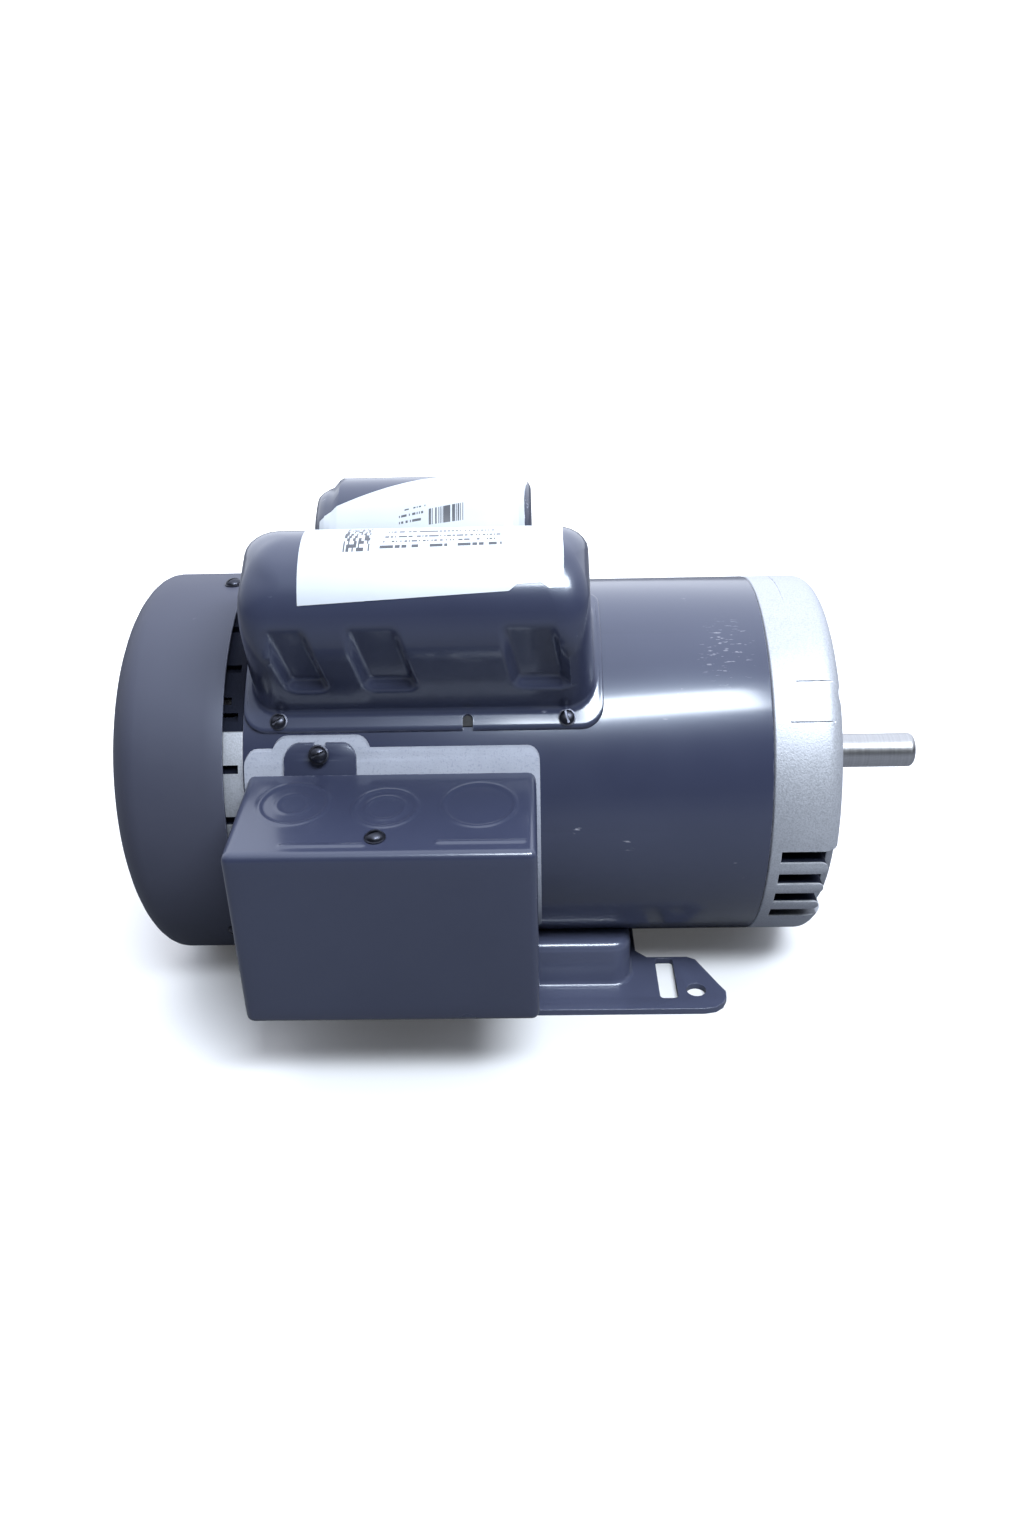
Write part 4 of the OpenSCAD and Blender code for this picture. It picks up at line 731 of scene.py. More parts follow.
def plan_ring(centre, half_length, half_width, corner, n_long, n_end, n_corner):
    """Points of a rounded rectangle, as (along, sideways) pairs."""
    corner = min(corner, half_width, half_length)
    a, b = half_length - corner, half_width - corner
    ring = []
    for quarter in range(4):
        start = math.radians(-90 + 90 * quarter)
        mid = ((a, -b), (a, b), (-a, b), (-a, -b))[quarter]
        after = ((a, b), (-a, b), (-a, -b), (a, -b))[quarter]
        steps = (n_end, n_long, n_end, n_long)[quarter]
        for i in range(n_corner):
            t = start + math.radians(90) * i / n_corner
            ring.append((centre + mid[0] + corner * math.cos(t), mid[1] + corner * math.sin(t)))
        end = start + math.radians(90)
        lift = (corner * math.cos(end), corner * math.sin(end))
        for i in range(steps):
            s = i / steps
            ring.append((centre + mid[0] + (after[0] - mid[0]) * s + lift[0],
                         mid[1] + (after[1] - mid[1]) * s + lift[1]))
    return ring


def settle(merge=0.0):
    """Merges the points that meet, turns the faces outwards and leaves edit mode."""
    bpy.ops.mesh.select_all(action="SELECT")
    if merge:
        bpy.ops.mesh.remove_doubles(threshold=merge)
    bpy.ops.mesh.normals_make_consistent(inside=False)
    bpy.ops.object.mode_set(mode="OBJECT")


def draw_up(name, rings):
    """A sheet drawn up ring by ring: each rim is extruded and set to its next ring."""
    bpy.ops.object.select_all(action="DESELECT")
    bpy.ops.mesh.primitive_circle_add(vertices=len(rings[0]), radius=1)
    piece = bpy.context.object
    piece.name = name
    for vertex, place in zip(piece.data.vertices, rings[0]):
        vertex.co = place
    bpy.ops.object.mode_set(mode="EDIT")
    bpy.ops.mesh.select_mode(type="VERT")
    bpy.ops.mesh.select_all(action="SELECT")
    for last, ring in zip(rings, rings[1:]):
        bpy.ops.mesh.extrude_edges_move()
        near = kdtree.KDTree(len(last))
        for i, place in enumerate(last):
            near.insert(place, i)
        near.balance()
        mesh = bmesh.from_edit_mesh(piece.data)
        for vertex in mesh.verts:
            if vertex.select:
                vertex.co = ring[near.find(vertex.co)[1]]
        bmesh.update_edit_mesh(piece.data)
    settle(0.005 * mm)
    return piece


crown = 29 * mm
flange_out = 84.3 * mm
fillet = 2.2 * mm


def on_shell(sideways, radius):
    """Height over the shaft axis of a point that lies on a round layer of the shell."""
    return math.sqrt(radius ** 2 - sideways ** 2)


def drawn_cover(name, x0, length, body_x0, body_x1, top, lean, n_long, pressed, shoulder_r):
    """One cover in its own upright frame; pressed moves points of its side inwards."""
    counts = (n_long, 16, 6)
    flange_mid = x0 + length / 2
    body_mid = (body_x0 + body_x1) / 2
    body_half = (body_x1 - body_x0) / 2
    spring = top - crown
    rings = []
    for inset, radius in ((0, 82.7), (0, 83.7), (0.15, 84.1), (0.5, 84.3), (1.5, 84.3)):
        plan = plan_ring(flange_mid, length / 2 - inset * mm, 36 * mm - inset * mm,
                         (9 - inset) * mm, *counts)
        rings.append([(x, s, on_shell(s, radius * mm)) for x, s in plan])
    for i in range(6):
        t = math.radians(18 * i)
        out = fillet * (1 - math.sin(t))
        up = fillet * (1 - math.cos(t))
        plan = plan_ring(body_mid, body_half + out, crown + out, 12 * mm + out, *counts)
        rings.append([(x, s, on_shell(s, flange_out) + up) for x, s in plan])
    wall_steps = int((spring - flange_out) / (0.8 * mm))
    for i in range(1, wall_steps):
        v = i / wall_steps
        half = body_half - lean * 0.6 * v
        plan = plan_ring(body_mid, half, crown, 12 * mm, *counts)
        rings.append([(x, s, (on_shell(s, flange_out) + fillet) * (1 - v) + spring * v)
                      for x, s in plan])
    for i in range(25):
        t = math.radians(90 * i / 24)
        level = spring + crown * math.sin(t)
        half = body_half - lean * (0.6 + 0.4 * math.sin(t))
        over = level - (top - shoulder_r)
        if over > 0:
            half -= shoulder_r - math.sqrt(max(0, shoulder_r ** 2 - over ** 2))
        width = crown * math.cos(t)
        plan = plan_ring(body_mid, half, max(width, 0.00001 * mm), 12 * mm, *counts)
        rings.append([(x, s, level) for x, s in plan])
    rings = [[Vector(pressed(*point)) for point in ring] for ring in rings]
    return draw_up(name, rings)


def stand_on_shell(piece, tilt):
    """Tilts a piece from its upright frame to its place on the shell."""
    piece.data.transform(Matrix.Translation((0, 0, axis_z)) @ Matrix.Rotation(math.radians(tilt), 4, "X"))
    return piece


def hollows(x, s, h):
    """The stamped hollows: flat floors 4 mm inside the lower side wall, with leaning ends."""
    floor_at = -24.4 * mm
    if s >= floor_at or h < 90 * mm:
        return x, s, h
    share = 0
    for left, width in ((-112, 16), (-81, 20), (-22, 21)):
        slant = 6 * mm * (134 * mm - h) / (40 * mm)
        across = abs(x - slant - (left + width / 2) * mm) - width / 2 * mm + 4 * mm
        down = abs(h - 118 * mm) - 24 * mm + 4 * mm
        reach = math.hypot(max(across, 0), max(down, 0)) + min(max(across, down), 0) - 4 * mm
        t = min(max((1.6 * mm - reach) / (4.4 * mm), 0), 1)
        share = max(share, t * t * (3 - 2 * t))
    depth = floor_at - s
    return x, s + share * depth * depth / (depth + 0.5 * mm), h


def stepped_end(x, s, h):
    """The far cover's crown steps down 4 mm at its left end."""
    share = min(max((-97.9 * mm - x) / (2 * mm), 0), 1)
    above = min(max((h - 101 * mm) / (16 * mm), 0), 1)
    return x, s, h - 4 * mm * share * share * (3 - 2 * share) * above


near_low, near_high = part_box("near_capacitor_cover")
far_low, far_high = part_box("far_capacitor_cover")
near_x, near_length, near_top = near_low.x, near_high.x - near_low.x, 141 * mm
far_x, far_length, far_top = far_low.x, far_high.x - far_low.x, 133 * mm
near_cover = drawn_cover("near_capacitor_case", near_x, near_length, near_x + 4 * mm,
                         near_x + near_length - 3.8 * mm, near_top, 3 * mm, 190, hollows, 14 * mm)
far_cover = drawn_cover("far_capacitor_case", far_x, far_length, far_x + 3 * mm,
                        far_x + far_length - 11 * mm, far_top, mm, 100, stepped_end, 8 * mm)


def copy_of(piece):
    """A second object with its own mesh."""
    twin = piece.copy()
    twin.data = piece.data.copy()
    return twin


near_skin = copy_of(near_cover)
far_skin = copy_of(far_cover)
for cover in (near_cover, far_cover):
    thicken(cover, mm)
notch = block((near_x + 89.6 * mm, -42 * mm, 60 * mm), (near_x + 93.8 * mm, -30.5 * mm, 90 * mm),
              lambda m, e: m.y > -31 * mm and abs(m.z - 75 * mm) < mm, 2.0 * mm, 5)
cut(near_cover, notch)
stand_on_shell(near_cover, cover_tilt)
stand_on_shell(far_cover, -cover_tilt)
for cover, node in ((near_cover, "near_capacitor_cover"), (far_cover, "far_capacitor_cover")):
    rest_at_origin(cover, 40)
    cover.data.materials.append(enamel)
    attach(cover, "housing")
    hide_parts(node)

# ---------- Cover labels ----------
# Two printed vinyl labels wrapped over the crowns of the covers. Their print is only
# generic bars: a block code, a bar code and rows of dashes that stand in for lines.


def wrap_label(name, skin, x0, x1, low_edge, high_edge, spring, tilt):
    """A thin sheet laid on a cover's crown between two edges given as angles from its top."""
    bpy.ops.object.select_all(action="DESELECT")
    bpy.ops.mesh.primitive_grid_add(x_subdivisions=240, y_subdivisions=40, size=1, calc_uvs=True)
    piece = bpy.context.object
    piece.name = name
    for vertex in piece.data.vertices:
        u, v = vertex.co.x + 0.5, vertex.co.y + 0.5
        x = x0 + (x1 - x0) * u
        angle = math.radians(low_edge(x / mm) * (1 - v) + high_edge(x / mm) * v)
        around = crown + 0.3 * mm
        down = max(angle - math.pi / 2, 0) * around
        angle = min(angle, math.pi / 2)
        vertex.co = (x, -around * math.sin(angle), spring + around * math.cos(angle) - down)
    alone(piece)
    lay = piece.modifiers.new("lay", "SHRINKWRAP")
    lay.target = skin
    lay.wrap_method = "NEAREST_SURFACEPOINT"
    lay.wrap_mode = "ABOVE_SURFACE"
    lay.offset = 0.26 * mm
    bpy.ops.object.modifier_apply(modifier="lay")
    bpy.ops.object.mode_set(mode="EDIT")
    settle()
    top = max(piece.data.polygons, key=lambda f: f.center.z)
    if top.normal.z < 0:
        piece.data.flip_normals()
    thicken(piece, 0.16 * mm)
    bpy.data.objects.remove(skin)
    stand_on_shell(piece, tilt)
    return rest_at_origin(piece, 40)


def near_low_edge(x):
    """The near label's lower edge slants up, with one small step near its right end."""
    edge = 41 + (30.5 - 41) * (x + 96.4) / 99.8
    rise = min(max((x + 17.5) / 3, 0), 1) - min(max((x + 5.5) / 3, 0), 1)
    return edge - 4.4 * rise


near_label = wrap_label("near_label_sheet", near_skin, -96.4 * mm, 3.4 * mm, near_low_edge,
                        lambda x: -47, near_top - crown, cover_tilt)


def far_slant(x):
    """The far label's slanted edge crosses the crown from the camera side."""
    if x < -61:
        return 82 + (34 - 82) * (x + 110) / 49
    if x < -37:
        return 34 + (14 - 34) * (x + 61) / 24
    return 14 - (x + 37) / 27.6 * 34


far_label = wrap_label("far_label_sheet", far_skin, -108.5 * mm, -8.3 * mm, lambda x: 112,
                       far_slant, far_top - crown, -cover_tilt)

# Print: one rectangle of generic marks, by row and column
marks, marks_in, marks_out = group_of(
    "printed_marks", [("Low U", 0.0), ("High U", 1.0), ("Low V", 0.0), ("High V", 1.0),
                      ("Columns", 40.0), ("Rows", 1.0), ("Blank", 0.4)],
    [("Ink", "NodeSocketFloat")])
place = add(marks, "TexCoord")
place_parts = add(marks, "SeparateXYZ", [("Vector", place.outputs["UV"])])
spans = []
cells = []
for axis, low, high, count in (("X", "Low U", "High U", "Columns"), ("Y", "Low V", "High V", "Rows")):
    share = add(marks, "MapRange", [("Value", place_parts.outputs[axis]),
                                    ("From Min", marks_in.outputs[low]),
                                    ("From Max", marks_in.outputs[high])],
                clamp=False).outputs["Result"]
    above = add(marks, "Math", [(0, share)], operation="GREATER_THAN")
    above.inputs[1].default_value = 0
    below = add(marks, "Math", [(0, share)], operation="LESS_THAN")
    below.inputs[1].default_value = 1
    spans.append(product(marks, above.outputs["Value"], below.outputs["Value"]))
    counted = product(marks, share, marks_in.outputs[count])
    cells.append(add(marks, "Math", [(0, counted)], operation="FLOOR").outputs["Value"])
address = add(marks, "CombineXYZ", [("X", cells[0]), ("Y", cells[1]),
                                    ("Z", marks_in.outputs["Low V"])])
chance = add(marks, "TexWhiteNoise", [("Vector", address.outputs["Vector"])])
inked = add(marks, "Math", [(0, chance.outputs["Value"]), (1, marks_in.outputs["Blank"])],
            operation="GREATER_THAN")
inside = product(marks, spans[0], spans[1])
marks.links.new(product(marks, inside, inked.outputs["Value"]), marks_out.inputs["Ink"])


def label_of(name, prints):
    """Printed label stock with rectangles of generic marks."""
    material, tree, shader = paint_of(name)
    skin = group_node(tree, grain, Fine_Scale=500.0, Cloud_Scale=25.0)
    tone = blend_colours(tree, spread(tree, skin.outputs["Tone"], 0, 1), (0.52, 0.555, 0.60),
                         (0.57, 0.605, 0.65))
    for low_u, high_u, low_v, high_v, columns, rows, blank in prints:
        part = group_node(tree, marks, Low_U=low_u, High_U=high_u, Low_V=low_v, High_V=high_v,
                          Columns=columns, Rows=rows, Blank=blank)
        tone = blend_colours(tree, part.outputs["Ink"], tone, (0.07, 0.075, 0.09))
    tree.links.new(tone, shader.inputs["Base Color"])
    shader.inputs["Roughness"].default_value = 0.38
    set_bump(tree, shader, skin.outputs["Height"], 0.06, 0.00005)
    return material


near_print = label_of("near_label_print", [
    (0.165, 0.265, 0.47, 0.90, 18.0, 9.0, 0.42), (0.285, 0.45, 0.495, 0.535, 26.0, 1.0, 0.35),
    (0.475, 0.56, 0.495, 0.535, 14.0, 1.0, 0.35), (0.58, 0.765, 0.495, 0.535, 30.0, 1.0, 0.35),
    (0.31, 0.74, 0.575, 0.60, 80.0, 1.0, 0.45), (0.32, 0.76, 0.65, 0.68, 84.0, 1.0, 0.45),
    (0.33, 0.74, 0.75, 0.79, 80.0, 1.0, 0.45)])
far_print = label_of("far_label_print", [
    (0.53, 0.69, 0.28, 0.46, 44.0, 1.0, 0.45), (0.38, 0.50, 0.34, 0.37, 24.0, 1.0, 0.45),
    (0.39, 0.51, 0.42, 0.45, 24.0, 1.0, 0.45), (0.42, 0.53, 0.50, 0.52, 22.0, 1.0, 0.5)])
for label, node, paint in ((near_label, "near_cover_label", near_print),
                           (far_label, "far_cover_label", far_print)):
    label.data.materials.append(paint)
    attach(label, "housing")
    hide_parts(node)

# ---------- Conduit box cover ----------
# A pressed steel box that screws down over its base. Its roof slopes to the front and
# carries the rings of three knockouts and two stiffening ridges near the front edge.
box_low, box_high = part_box("conduit_box_cover")
box_front = -box_low.y
box_floor = box_low.z
box_gasket_r = 85.5 * mm
roof_slope = math.tan(math.radians(5))
roof_front = 119.1 * mm
box_mid = (box_low.x + box_high.x) / 2
box_half = (box_high.x - box_low.x) / 2


def roof_at(y):
    """Height of the roof at a place in front of the shaft axis."""
    return roof_front + (box_front + y) * roof_slope


def raised(x, y):
    """Height of the pressed rings and ridges over the plain roof."""
    lift = 0
    for cx, cy, radius, share in ((-103, -99.5, 13.5, 1), (-103, -99.5, 6.5, 0.5),
                                  (-66.8, -103, 12.2, 1), (-66.8, -103, 7.5, 0.8),
                                  (-30.5, -101.5, 14, 1)):
        off = math.hypot(x / mm - cx, y / mm - cy) - radius
        lift += share * 0.42 * mm * math.exp(-(off / 0.9) ** 2)
    for x0, x1, cy in ((-103, -73, -126.2), (-45, -12, -125.0)):
        along = max(x0 - x / mm, x / mm - x1, 0)
        lift += 0.5 * mm * math.exp(-(math.hypot(along, y / mm - cy) / 0.95) ** 2)
    return lift


def box_ring(inset, front_y, share):
    """One rim of the box cover at a share of the way from the shell to the front."""
    corner = max(3.2 * mm - inset, 0.4 * mm)
    mid_z = (box_floor + roof_front) / 2
    half_height = (roof_front - box_floor) / 2
    plan = plan_ring(0, box_half - inset, half_height - inset, corner, 150, 24, 4)
    ring = []
    for along, up in plan:
        z = mid_z + up
        back = -math.sqrt(max(box_gasket_r ** 2 - (z - axis_z) ** 2, 0))
        y = back + (front_y - back) * share
        rise = max(up, 0) / half_height
        z += (roof_at(y) - roof_front) * rise ** 2
        if up > half_height - inset - 0.01 * mm and abs(along) < box_half - 4 * mm:
            z += raised(box_mid + along, y)
        ring.append(Vector((box_mid + along, y, z)))
    return ring


front_radius = 3 * mm
depth_steps = 84
rings = [box_ring(0, -box_front + front_radius, i / depth_steps) for i in range(depth_steps + 1)]
for i in range(1, 6):
    t = math.radians(90 * i / 5)
    rings.append(box_ring(front_radius * (1 - math.cos(t)),
                          -box_front + front_radius * (1 - math.sin(t)), 1))
for inset in (8, 20, 32, 39):
    rings.append(box_ring(inset * mm, -box_front, 1))


def close_rims(piece, *rims):
    """Closes open rims with one face each; a rim's edges are picked by their first point."""
    alone(piece)
    bpy.ops.object.mode_set(mode="EDIT")
    bpy.ops.mesh.select_mode(type="EDGE")
    bpy.ops.mesh.select_all(action="DESELECT")
    for on_rim in rims:
        mesh = bmesh.from_edit_mesh(piece.data)
        for e in mesh.edges:
            e.select = e.is_boundary and on_rim(e.verts[0].co)
        bmesh.update_edit_mesh(piece.data)
        bpy.ops.mesh.edge_face_add()
    settle()
    return piece


box_cover = close_rims(draw_up("conduit_cover", rings), lambda at: at.y < -box_front + mm)
thicken(box_cover, 1.4 * mm)
ear_x = -95.6 * mm
ear_low = ear_x - 18.2 * mm
ear_high = ear_x + 18.2 * mm
relief = turn("ear_relief", [(ear_low, 60 * mm), (ear_low, 87 * mm), (ear_high, 87 * mm),
                             (ear_high, 60 * mm)], steps=24, sweep=40, start=50)
cover_screw = (-68.8 * mm, -122 * mm)
cut(box_cover, relief, rod((*cover_screw, roof_front), 2.4 * mm, 20 * mm))
rest_at_origin(box_cover, 35)
box_cover.data.materials.append(enamel)
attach(box_cover, "housing")
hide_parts("conduit_box_cover")

# ---------- Conduit box base and gasket ----------
# The curved base plate screws to the shell by one ear that shows above the box, and a
# speckled closed-cell foam gasket seals it all round.


def softened(node, name, width):
    """A copy of a CAD piece with its doubles merged and its sharp edges rounded."""
    piece = copy_of(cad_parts[node])
    piece.name = name
    piece.parent = None
    for key in list(piece.keys()):
        del piece[key]
    bpy.context.scene.collection.objects.link(piece)
    piece.data.materials.clear()
    alone(piece)
    bpy.ops.object.mode_set(mode="EDIT")
    bpy.ops.mesh.select_all(action="SELECT")
    bpy.ops.mesh.remove_doubles(threshold=merge_reach)
    bpy.ops.mesh.dissolve_limited(angle_limit=math.radians(1))
    bpy.ops.object.mode_set(mode="OBJECT")
    if piece.data.has_custom_normals:
        bpy.ops.mesh.customdata_custom_splitnormals_clear()
    return round_off(piece, width, angle=45)


box_base = softened("conduit_box_base", "conduit_base_plate", 0.3 * mm)
ear_turn = 61
ear_slot = block((ear_x - 2.3 * mm, 0, axis_z + 80 * mm), (ear_x + 2.3 * mm, 13 * mm, axis_z + 92 * mm))
ear_slot.data.transform(about_axis(ear_turn))
cut(box_base, ear_slot)
rest_at_origin(box_base)
box_base.data.materials.append(enamel)
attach(box_base, "housing")
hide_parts("conduit_box_base")

foam, tree, shader = paint_of("speckled_foam")
skin = group_node(tree, grain, Fine_Scale=1100.0, Cloud_Scale=60.0)
tone = blend_colours(tree, spread(tree, skin.outputs["Tone"], 0, 1), (0.31, 0.33, 0.39),
                     (0.37, 0.39, 0.46))
speckle = spread(tree, skin.outputs["Height"], 0, 0.5, 0.55, 0.66)
tone = blend_colours(tree, speckle, tone, (0.22, 0.24, 0.30))
tree.links.new(tone, shader.inputs["Base Color"])
shader.inputs["Roughness"].default_value = 0.9
set_bump(tree, shader, skin.outputs["Height"], 0.5, 0.0003)
box_gasket = softened("conduit_box_gasket", "foam_gasket", 0.35 * mm)
box_gasket.data.materials.append(foam)
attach(box_gasket, "housing")
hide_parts("conduit_box_gasket")

# ---------- Screws ----------
# Zinc-dipped pan head screws with a flange and a driver slot, darkened by handling. They
# hold the fan cover, the capacitor covers and the conduit box.


def pan_screw(radius, head_r, head_h, length):
    """A slotted pan head screw standing on the plane z = 0, its head up."""
    outline = [(0, -length), (radius * 0.7, -length), (radius, -length + radius * 0.4), (radius, 0),
               (head_r, 0), (head_r, head_h * 0.16)]
    dome = [(head_r * 0.86 * math.cos(math.radians(a)), head_h * (0.2 + 0.8 * math.sin(math.radians(a))))
            for a in range(0, 91, 15)]
    points = [Vector((r, 0, z)) for r, z in outline + dome]
    piece = draw_outline("screw", points, closed=False)
    bpy.ops.mesh.select_all(action="SELECT")
    bpy.ops.mesh.spin(steps=28, angle=math.radians(360), center=(0, 0, 0), axis=(0, 0, 1))
    settle(merge_reach)
    alone(piece)
    bpy.ops.object.transform_apply(location=True)
    slot = block((-head_r, -0.45 * mm, head_h * 0.62), (head_r, 0.45 * mm, head_h * 2))
    cut(piece, slot)
    return piece


def screws(name, node, pattern, places):
    """Copies of one screw, each set on its seat by a matrix, joined as one set."""
    copies = []
    for place in places:
        copy = copy_of(pattern)
        bpy.context.scene.collection.objects.link(copy)
        copy.data.transform(place)
        copies.append(copy)
    bpy.data.objects.remove(pattern)
    alone(copies[0])
    for copy in copies:
        copy.select_set(True)
    bpy.ops.object.join()
    piece = bpy.context.object
    piece.name = name
    rest_at_origin(piece)
    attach(piece, "housing")
    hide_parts(node)
    return piece


def seat(x, angle, radius, turned=0):
    """Where a radial screw sits, with its slot turned."""
    return (about_axis(angle) @ Matrix.Translation((x, 0, axis_z + radius))
            @ Matrix.Rotation(math.radians(turned), 4, "Z"))


dark_zinc = steel_of("dark_zinc", (0.060, 0.063, 0.08), 0.38, stretch=1.0, grain_scale=700.0)
fan_screws = screws("shroud_screws", "fan_cover_screws", pan_screw(2.2 * mm, 4 * mm, 2.6 * mm, 8 * mm),
                    [seat(cover_front - 6 * mm, a, cover_r + 0.02 * mm, 40 + a) for a in (0, 120, 240)])
case_places = []
for x0, length, tilt in ((near_x, near_length, cover_tilt), (far_x, far_length, -cover_tilt)):
    for k, x in enumerate((x0 + 14.7 * mm, x0 + length - 15 * mm)):
        for side in (1, -1):
            case_places.append(seat(x, tilt + side * 22.6, 84.4 * mm, 35 + 70 * k))
case_screws = screws("case_screws", "capacitor_cover_screws",
                     pan_screw(2 * mm, 3.6 * mm, 2.4 * mm, 3.4 * mm), case_places)
roof_tilt = Matrix.Rotation(math.atan(roof_slope), 4, "X")
roof_place = Matrix.Translation((*cover_screw, roof_at(cover_screw[1]) + 0.1 * mm)) @ roof_tilt
conduit_screws = screws("conduit_screws", "conduit_box_screws",
                        pan_screw(2.2 * mm, 4.1 * mm, 2.7 * mm, 7 * mm),
                        [roof_place @ Matrix.Rotation(math.radians(20), 4, "Z"),
                         seat(ear_x, ear_turn, 89.2 * mm, 25)])
for piece in (fan_screws, case_screws, conduit_screws):
    piece.data.materials.append(dark_zinc)

# ---------- Mounting base ----------
# One pressed steel foot welded under the shell: a flat plate with four ears, holes and
# slots, and two saddles drawn up from it that carry the shell.
plate = 3.2 * mm
saddle_half_x = 34 * mm
saddle_half_y = 14.25 * mm
saddle_y = 51.25 * mm
bolt_x = 63.5 * mm
bolt_y = 69.85 * mm
foot_slot_x = 50.8 * mm
foot_slot_y = 61 * mm
outline = []
for sx, sy in ((1, 1), (-1, 1), (-1, -1), (1, -1)):
    corner = [(38, 0), (38, 40.5), (43, 45.5), (62, 45.5), (65.8, 47.6), (74.6, 66.5), (76.9, 70.9),
              (76.6, 75.2), (74.6, 79.2), (71, 82), (66, 83), (40, 83)]
    if sx * sy < 0:
        corner.reverse()
    outline += [Vector((sx * x * mm, sy * y * mm, 0)) for x, y in corner]
closed_outline = []
for point in outline:
    if not closed_outline or (point - closed_outline[-1]).length > 0.01 * mm:
        closed_outline.append(point)
if (closed_outline[0] - closed_outline[-1]).length < 0.01 * mm:
    closed_outline.pop()
base = draw_outline("foot_pressing", closed_outline)
bpy.ops.mesh.select_all(action="SELECT")
bpy.ops.mesh.edge_face_add()
bpy.ops.mesh.extrude_region_move(TRANSFORM_OT_translate={"value": (0, 0, plate)})
settle()
rest_at_origin(base)
for sx in (1, -1):
    for sy in (1, -1):
        drill = rod((sx * bolt_x, sy * bolt_y, 0), 4.4 * mm, 30 * mm, sides=48)
        slot = block((sx * foot_slot_x - 4.15 * mm, sy * foot_slot_y - 14.35 * mm, -9 * mm),
                     (sx * foot_slot_x + 4.15 * mm, sy * foot_slot_y + 14.35 * mm, 9 * mm),
                     lambda m, e: abs(m.z) < mm, 1.8 * mm, 5)
        cut(base, drill, slot)
round_off(base, 0.9 * mm, angle=50, segments=3)


def saddle(side):
    """One saddle: a wall drawn up from the plate with a rounded brow, closed below and on top."""
    rings = []
    steps = (30, 14, 10)
    levels = [(-2.6, 0.2), (-2.4, 1.4)]
    for i in range(1, 6):
        t = math.radians(90 * i / 5)
        levels.append((-2.4 * (1 - math.sin(t)), 3.1 + 2.4 * (1 - math.cos(t))))
    levels.append((0, 12))
    for i in range(7):
        t = math.radians(90 * i / 6)
        levels.append((4.5 * (1 - math.cos(t)), 21.5 + 4.5 * math.sin(t)))
    levels.append((8, 26.0))
    for inset, level in levels:
        plan = plan_ring(0, saddle_half_x - inset * mm, saddle_half_y - inset * mm,
                         max(9 - inset, 1) * mm, *steps)
        rings.append([Vector((x, side * (saddle_y + s), level * mm)) for x, s in plan])
    return close_rims(draw_up("saddle", rings), lambda at: at.z < 2 * mm,
                      lambda at: at.z >= 2 * mm)


def inside_shell(radius):
    """A round cutter about the shaft axis, longer than the shell."""
    reach = 200 * mm
    return turn("shell_space", [(-reach, 0), (-reach, radius), (reach, radius), (reach, 0)],
                steps=160, closed=False)


for side in (1, -1):
    cut(base, saddle(side), how="UNION")
cut(base, inside_shell(shell_r + 0.05 * mm))
for side in (1, -1):
    hollow = block((-saddle_half_x + plate, side * saddle_y - 11 * mm, -5 * mm),
                   (saddle_half_x - plate, side * saddle_y + 11 * mm, 22.5 * mm),
                   lambda m, e: abs(m.z - 8.75 * mm) < mm and abs(m.x) > 20 * mm, 5.5 * mm, 5)
    cut(hollow, inside_shell(shell_r + plate))
    cut(base, hollow)
rest_at_origin(base, 38)
# Painted light: the foot has its own lighter copy of the grey-blue enamel, about twice as bright as the
# shell's, to stand in for light on the saddles and plate.
painted_light_base_enamel = enamel_of("painted_light_base_enamel", (0.070, 0.080, 0.135), (0.080, 0.090, 0.150),
                        (0.30, 0.32, 0.42))
base.data.materials.append(painted_light_base_enamel)
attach(base, "housing")
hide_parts("mounting_base")

# ---------- Rubber, plastic and small trim ----------
# Everything else keeps its CAD shape: the rubber seal and gaskets, the moulded fan and boards,
# the wound copper, the stacked laminations, the bearings and the starting switch's parts.


def moulded_of(name, base, pale, roughness, bump=0.15, scale=900.0):
    """Moulded or fibrous stock: an even colour with a fine matt skin."""
    material, tree, shader = paint_of(name)
    skin = group_node(tree, grain, Fine_Scale=scale, Cloud_Scale=40.0)
    tone = blend_colours(tree, spread(tree, skin.outputs["Tone"], 0, 1), base, pale)
    tree.links.new(tone, shader.inputs["Base Color"])
    tree.links.new(spread(tree, skin.outputs["Height"], roughness - 0.05, roughness + 0.1),
                   shader.inputs["Roughness"])
    set_bump(tree, shader, skin.outputs["Height"], bump, 0.0001)
    return material


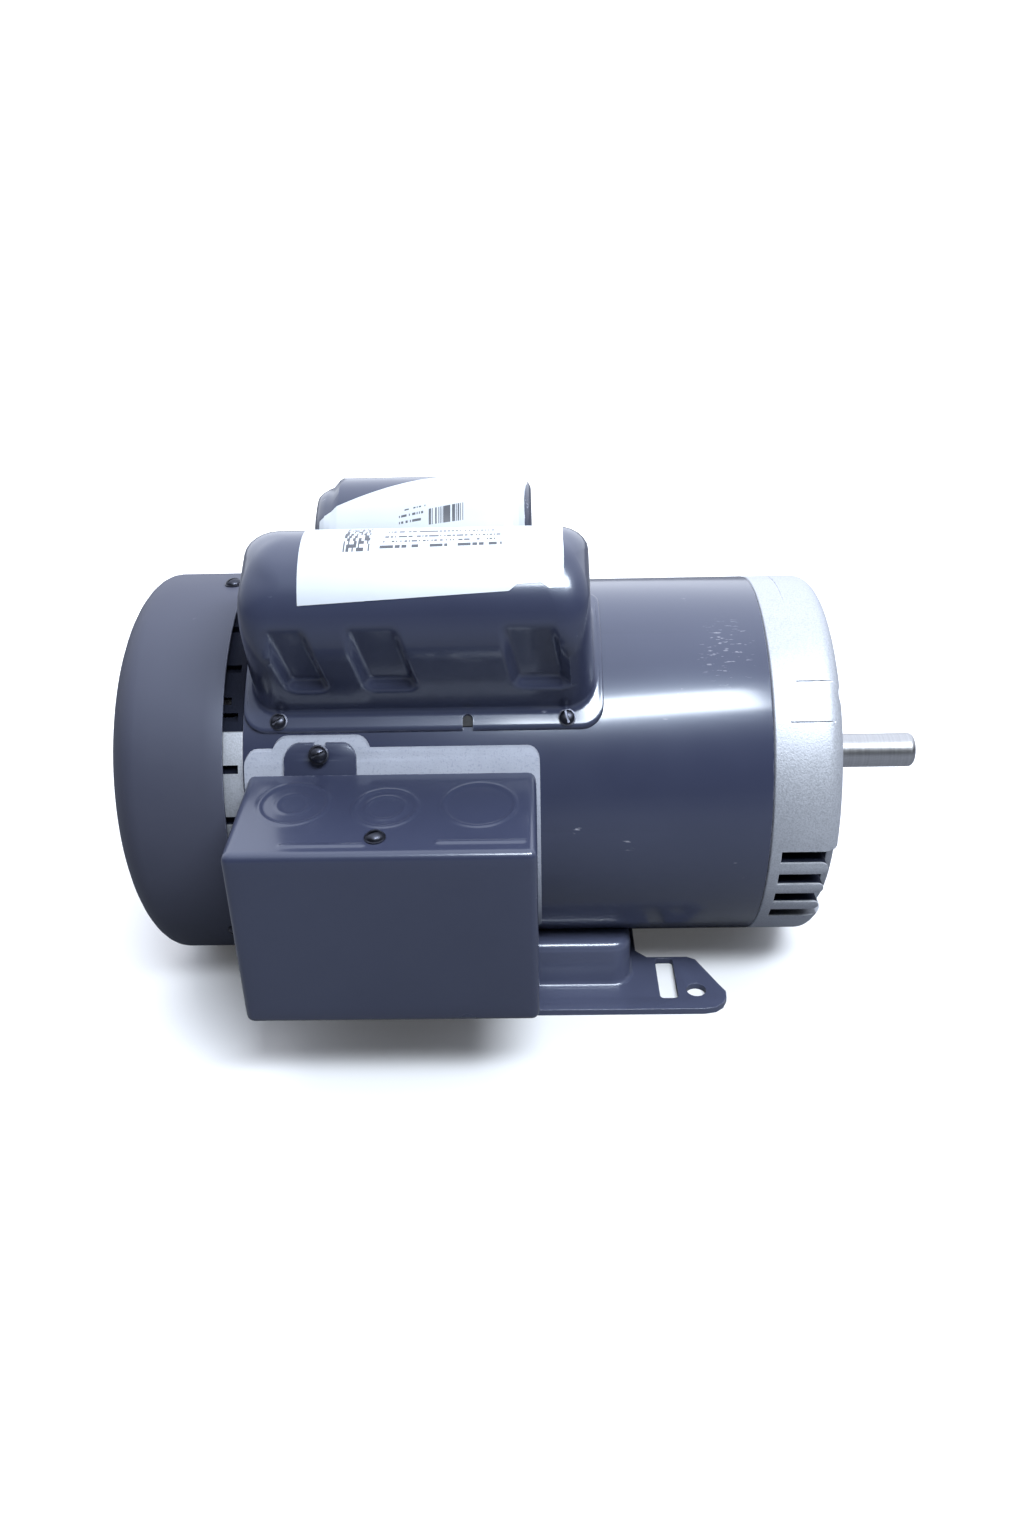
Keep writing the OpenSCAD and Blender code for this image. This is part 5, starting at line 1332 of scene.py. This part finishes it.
rubber = moulded_of("black_rubber", (0.012, 0.012, 0.014), (0.022, 0.022, 0.025), 0.7)
plastic = moulded_of("black_plastic", (0.018, 0.018, 0.02), (0.03, 0.03, 0.034), 0.45)
phenolic = moulded_of("brown_phenolic", (0.16, 0.075, 0.03), (0.22, 0.11, 0.05), 0.5)
sleeve = moulded_of("lead_sleeve", (0.55, 0.50, 0.42), (0.64, 0.60, 0.52), 0.6)
capacitor_case = moulded_of("capacitor_case", (0.02, 0.02, 0.022), (0.035, 0.035, 0.04), 0.4)
varnished = moulded_of("varnished_wire", (0.30, 0.10, 0.035), (0.42, 0.17, 0.06), 0.3, 0.4, 500.0)
copper = moulded_of("enamelled_copper", (0.62, 0.26, 0.10), (0.74, 0.34, 0.14), 0.3, 0.4, 500.0)
slot_paper = moulded_of("slot_paper", (0.70, 0.64, 0.48), (0.80, 0.75, 0.60), 0.7)
bearing_steel = steel_of("bearing_steel", (0.62, 0.62, 0.63), 0.16, stretch=1.0)
spring_steel = steel_of("spring_steel", (0.40, 0.40, 0.42), 0.3, stretch=1.0)
lamination = steel_of("lamination_steel", (0.26, 0.26, 0.28), 0.45, stretch=40.0, grain_scale=60.0)
plated = steel_of("plated_steel", (0.50, 0.50, 0.50), 0.34, stretch=1.0)
brass = steel_of("brass", (0.70, 0.52, 0.24), 0.28, stretch=1.0)
ground_green = moulded_of("ground_green", (0.02, 0.16, 0.05), (0.03, 0.22, 0.07), 0.4)
can = steel_of("drawn_can", (0.62, 0.63, 0.64), 0.3, stretch=6.0)
rotor_cast = casting_of("rotor_casting", (0.62, 0.63, 0.66), (0.72, 0.73, 0.76), 0.4, 0.8, 900.0)
finishes = {
    rubber: ("shaft_seal", "capacitor_cover_gaskets", "lead_grommet"),
    plastic: ("cooling_fan",),
    phenolic: ("terminal_board", "switch_board", "switch_arm", "governor_collar"),
    sleeve: ("motor_leads",),
    capacitor_case: ("start_capacitor",),
    can: ("run_capacitor",),
    varnished: ("start_winding",),
    copper: ("main_winding",),
    slot_paper: ("slot_wedges",),
    bearing_steel: ("drive_bearing_outer_race", "drive_bearing_inner_race", "drive_bearing_balls",
                    "rear_bearing_outer_race", "rear_bearing_inner_race", "rear_bearing_balls"),
    plated: ("drive_bearing_cage", "drive_bearing_shields", "rear_bearing_cage",
             "rear_bearing_shields", "governor_hub", "governor_weight_near", "governor_weight_far"),
    spring_steel: ("bearing_wave_spring", "governor_springs", "fan_clip", "through_bolts"),
    lamination: ("stator_core", "rotor_core"),
    rotor_cast: ("rotor_cage",),
    brass: ("terminal_tabs", "capacitor_tabs", "switch_contacts"),
    ground_green: ("ground_screw",),
}
for paint, nodes in finishes.items():
    for node in nodes:
        repaint(node, paint)
